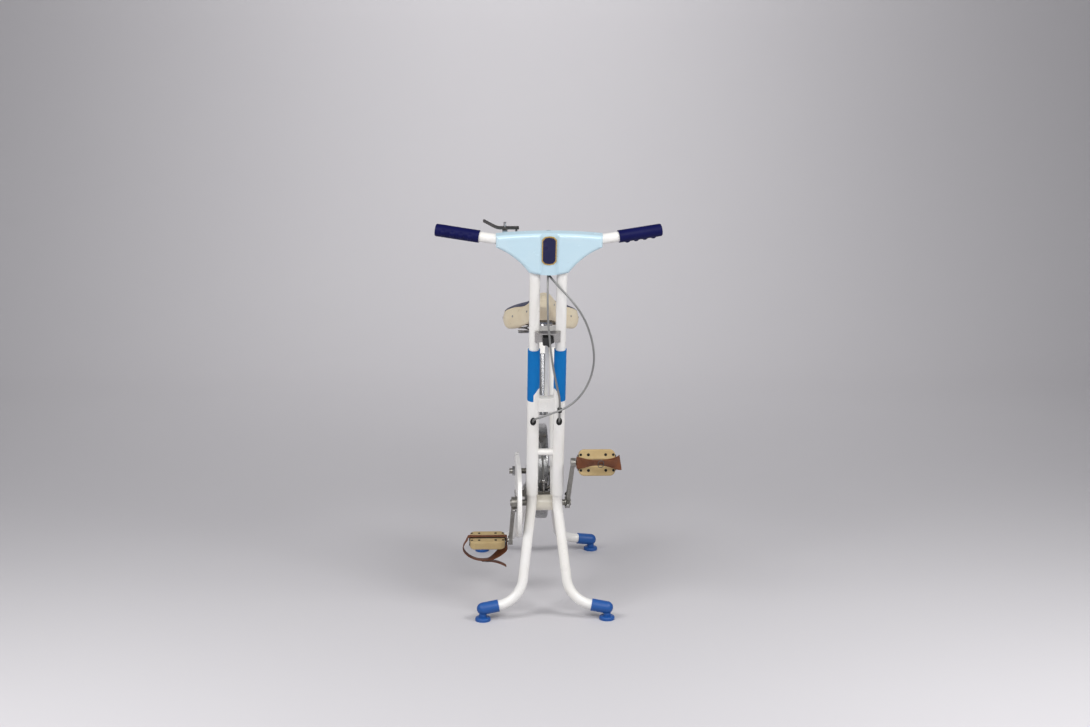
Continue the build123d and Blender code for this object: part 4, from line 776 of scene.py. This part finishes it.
def dial_marks():
    """Marks and plain numbers on the dial."""
    centre = on_column(0, 0.024, bar_along - 0.016)
    face = Matrix.Translation(centre) @ column_turn @ Matrix.Rotation(-math.pi / 2, 4, "X")
    face = face @ Matrix.Rotation(math.pi, 4, "Z")
    bm = bmesh.new()
    for step in range(mark_count):
        angle = mark_angle(step)
        long = step % marks_per_number == 0
        spoke = face @ Matrix.Rotation(angle, 4, "Z")
        outer = 0.0182
        inner = 0.0152 if long else 0.0166
        half = 0.0005 if long else 0.00025
        slab(bm, ((-half, inner), (half, inner), (half, outer), (-half, outer)), 0.00015, spoke)
    add_object("dial_marks", bm, dial_ink, "handlebar", False)
    for step in range(0, mark_count, marks_per_number):
        angle = mark_angle(step)
        text = bpy.data.curves.new("dial_number", "FONT")
        text.body = str(step * 2)
        text.size = 0.0042
        text.align_x = "CENTER"
        text.align_y = "CENTER"
        text.extrude = 0.0001
        number = bpy.data.objects.new(f"dial_number_{step}", text)
        scene.collection.objects.link(number)
        spot = Vector((-math.sin(angle) * number_ring, math.cos(angle) * number_ring, 0.0002))
        number.matrix_world = face @ Matrix.Translation(spot)
        text.materials.append(dial_ink)
        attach(number, "handlebar")


def sliding_cable(node):
    """A copy of the CAD cable, baked in place, stands in for the hidden CAD part."""
    cable = bpy.data.objects.new(f"{node}_line", nodes[node].data.copy())
    scene.collection.objects.link(cable)
    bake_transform(cable)
    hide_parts(node)


# Small fittings
# The guard's screws sit at the rear legs' height: its start, its drop and the run of that drop
leg_start, leg_drop, leg_run = 0.274, 0.008, 0.2135
guard_screw_places = (0.102, 0.138)
guard_screw_profile = ((0.006, -0.0004), (0.006, 0.001), (0.0045, 0.0024), (0.0006, 0.003))
cotter_nut_across = 0.011
cotter_nut_height = 0.005


def hexagon(bm, place, direction, across, height):
    """Adds a nut with chamfered ends; across is its width over the flats."""
    corner = across / math.sqrt(3)
    profile = ((corner * 0.92, 0), (corner, height * 0.12), (corner, height * 0.85), (corner * 0.9, height))
    turned(bm, profile, facing(place, direction), 6)


def fittings():
    """Screw heads on the guard and nuts on the cranks' cotter pins."""
    bm = bmesh.new()
    guard_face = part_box("chain_guard")[0].x
    for behind in guard_screw_places:
        height = leg_start - leg_drop * behind / leg_run
        place = Vector((guard_face, bracket.y + behind, height))
        turned(bm, guard_screw_profile, facing(place, Vector((-1, 0, 0))))
    add_object("guard_screws", bm, old_chrome, "frame")
    bm = bmesh.new()
    for across, turn in ((0.060, crank_turn), (-0.077, crank_turn + math.pi)):
        spin = Matrix.Translation(bracket) @ Matrix.Rotation(turn, 4, "X")
        for end in (-1, 1):
            place = spin @ Vector((across, end * 0.018, 0.0095))
            out = spin.to_3x3() @ Vector((0, end, 0))
            hexagon(bm, place - out * 0.0005, out, cotter_nut_across, cotter_nut_height)
    add_object("cotter_nuts", bm, old_chrome, "crankset", False)


# Stage, light and camera
def stage():
    """A pale floor that bends up into a wall."""
    bm = bmesh.new()
    reach, depth, wall, bend = 9.0, 4.2, 6.0, 1.6
    bend_steps = 16
    profile = [Vector((0, -reach, 0)), Vector((0, depth - bend, 0))]
    for step in range(1, bend_steps + 1):
        angle = math.pi / 2 * step / bend_steps
        profile.append(Vector((0, depth - bend + bend * math.sin(angle), bend - bend * math.cos(angle))))
    profile.append(Vector((0, depth, wall)))
    rows = [[bm.verts.new(point + Vector((x, 0, 0))) for x in (-reach, reach)] for point in profile]
    for first, second in zip(rows, rows[1:]):
        bm.faces.new((first[0], first[1], second[1], second[0]))
    mesh = mesh_from("studio_sweep", bm)
    sweep = bpy.data.objects.new("studio_sweep", mesh)
    scene.collection.objects.link(sweep)
    paper = Shader("studio_paper", (0.60, 0.585, 0.60), 0.9, specular=0.15)
    paper.tint(paper.spread(paper.noise(0.6, 3), 0.35, 0.7, 0.0, 0.35), (0.57, 0.555, 0.575))
    paper.bump(paper.noise(60, 3), 0.0005, 0.05)
    mesh.materials.append(paper.material)
    shade_smooth(mesh)


def lamp(name, place, target, size, power):
    light = bpy.data.lights.new(name, "AREA")
    light.shape = "RECTANGLE"
    light.size, light.size_y = size
    light.energy = power
    holder = bpy.data.objects.new(name, light)
    scene.collection.objects.link(holder)
    holder.location = place
    holder.rotation_euler = (Vector(target) - Vector(place)).to_track_quat("-Z", "Y").to_euler()


def lights():
    world = bpy.data.worlds.new("studio")
    scene.world = world
    world.use_nodes = True
    background = world.node_tree.nodes["Background"]
    background.inputs["Color"].default_value = (0.93, 0.94, 1.0, 1)
    background.inputs["Strength"].default_value = 0.25
    lamp("left_box", (-1.5, -1.2, 1.8), (-1.2, -1.05, 0), (0.9, 0.9), 27)
    lamp("right_box", (1.5, -1.2, 1.8), (1.2, -1.05, 0), (0.9, 0.9), 30)
    lamp("front_box", (0, -3.9, 3.0), (0, 0, 0.5), (3.2, 1.6), 84)
    lamp("wall_glow", (0, 2.3, 2.8), (0, 4.2, 0.9), (2.4, 1.0), 45)


def camera():
    """A camera that fits the photograph; its focal length is known in pixels of the 1090 wide frame."""
    yaw = math.radians(-2.6)
    pitch = math.radians(79)
    roll = math.radians(0.25)
    distance, height, shift = 3.735, 1.367, 0.0015
    sensor, focal_pixels, frame_pixels = 36.0, 1514, 1090
    view = bpy.data.cameras.new("camera")
    view.sensor_width = sensor
    view.lens = sensor * focal_pixels / frame_pixels
    eye = bpy.data.objects.new("camera", view)
    scene.collection.objects.link(eye)
    eye.location = (shift + distance * math.sin(yaw), bracket.y - distance * math.cos(yaw), height)
    aim = Matrix.Rotation(yaw, 3, "Z") @ Matrix.Rotation(pitch, 3, "X")
    eye.rotation_euler = (aim @ Matrix.Rotation(roll, 3, "Z")).to_euler()
    scene.camera = eye


pad = grown_saddle()
saddle_piping(pad)
saddle_rivets(pad)
saddle_springs()
for name in pedals:
    pedal_strap(name)
    block_screws(name)
badge()
dial_marks()
for node in ("brake_cable", "speedometer_cable"):
    sliding_cable(node)
fittings()
stage()
lights()
camera()
scene.view_settings.view_transform = "Standard"
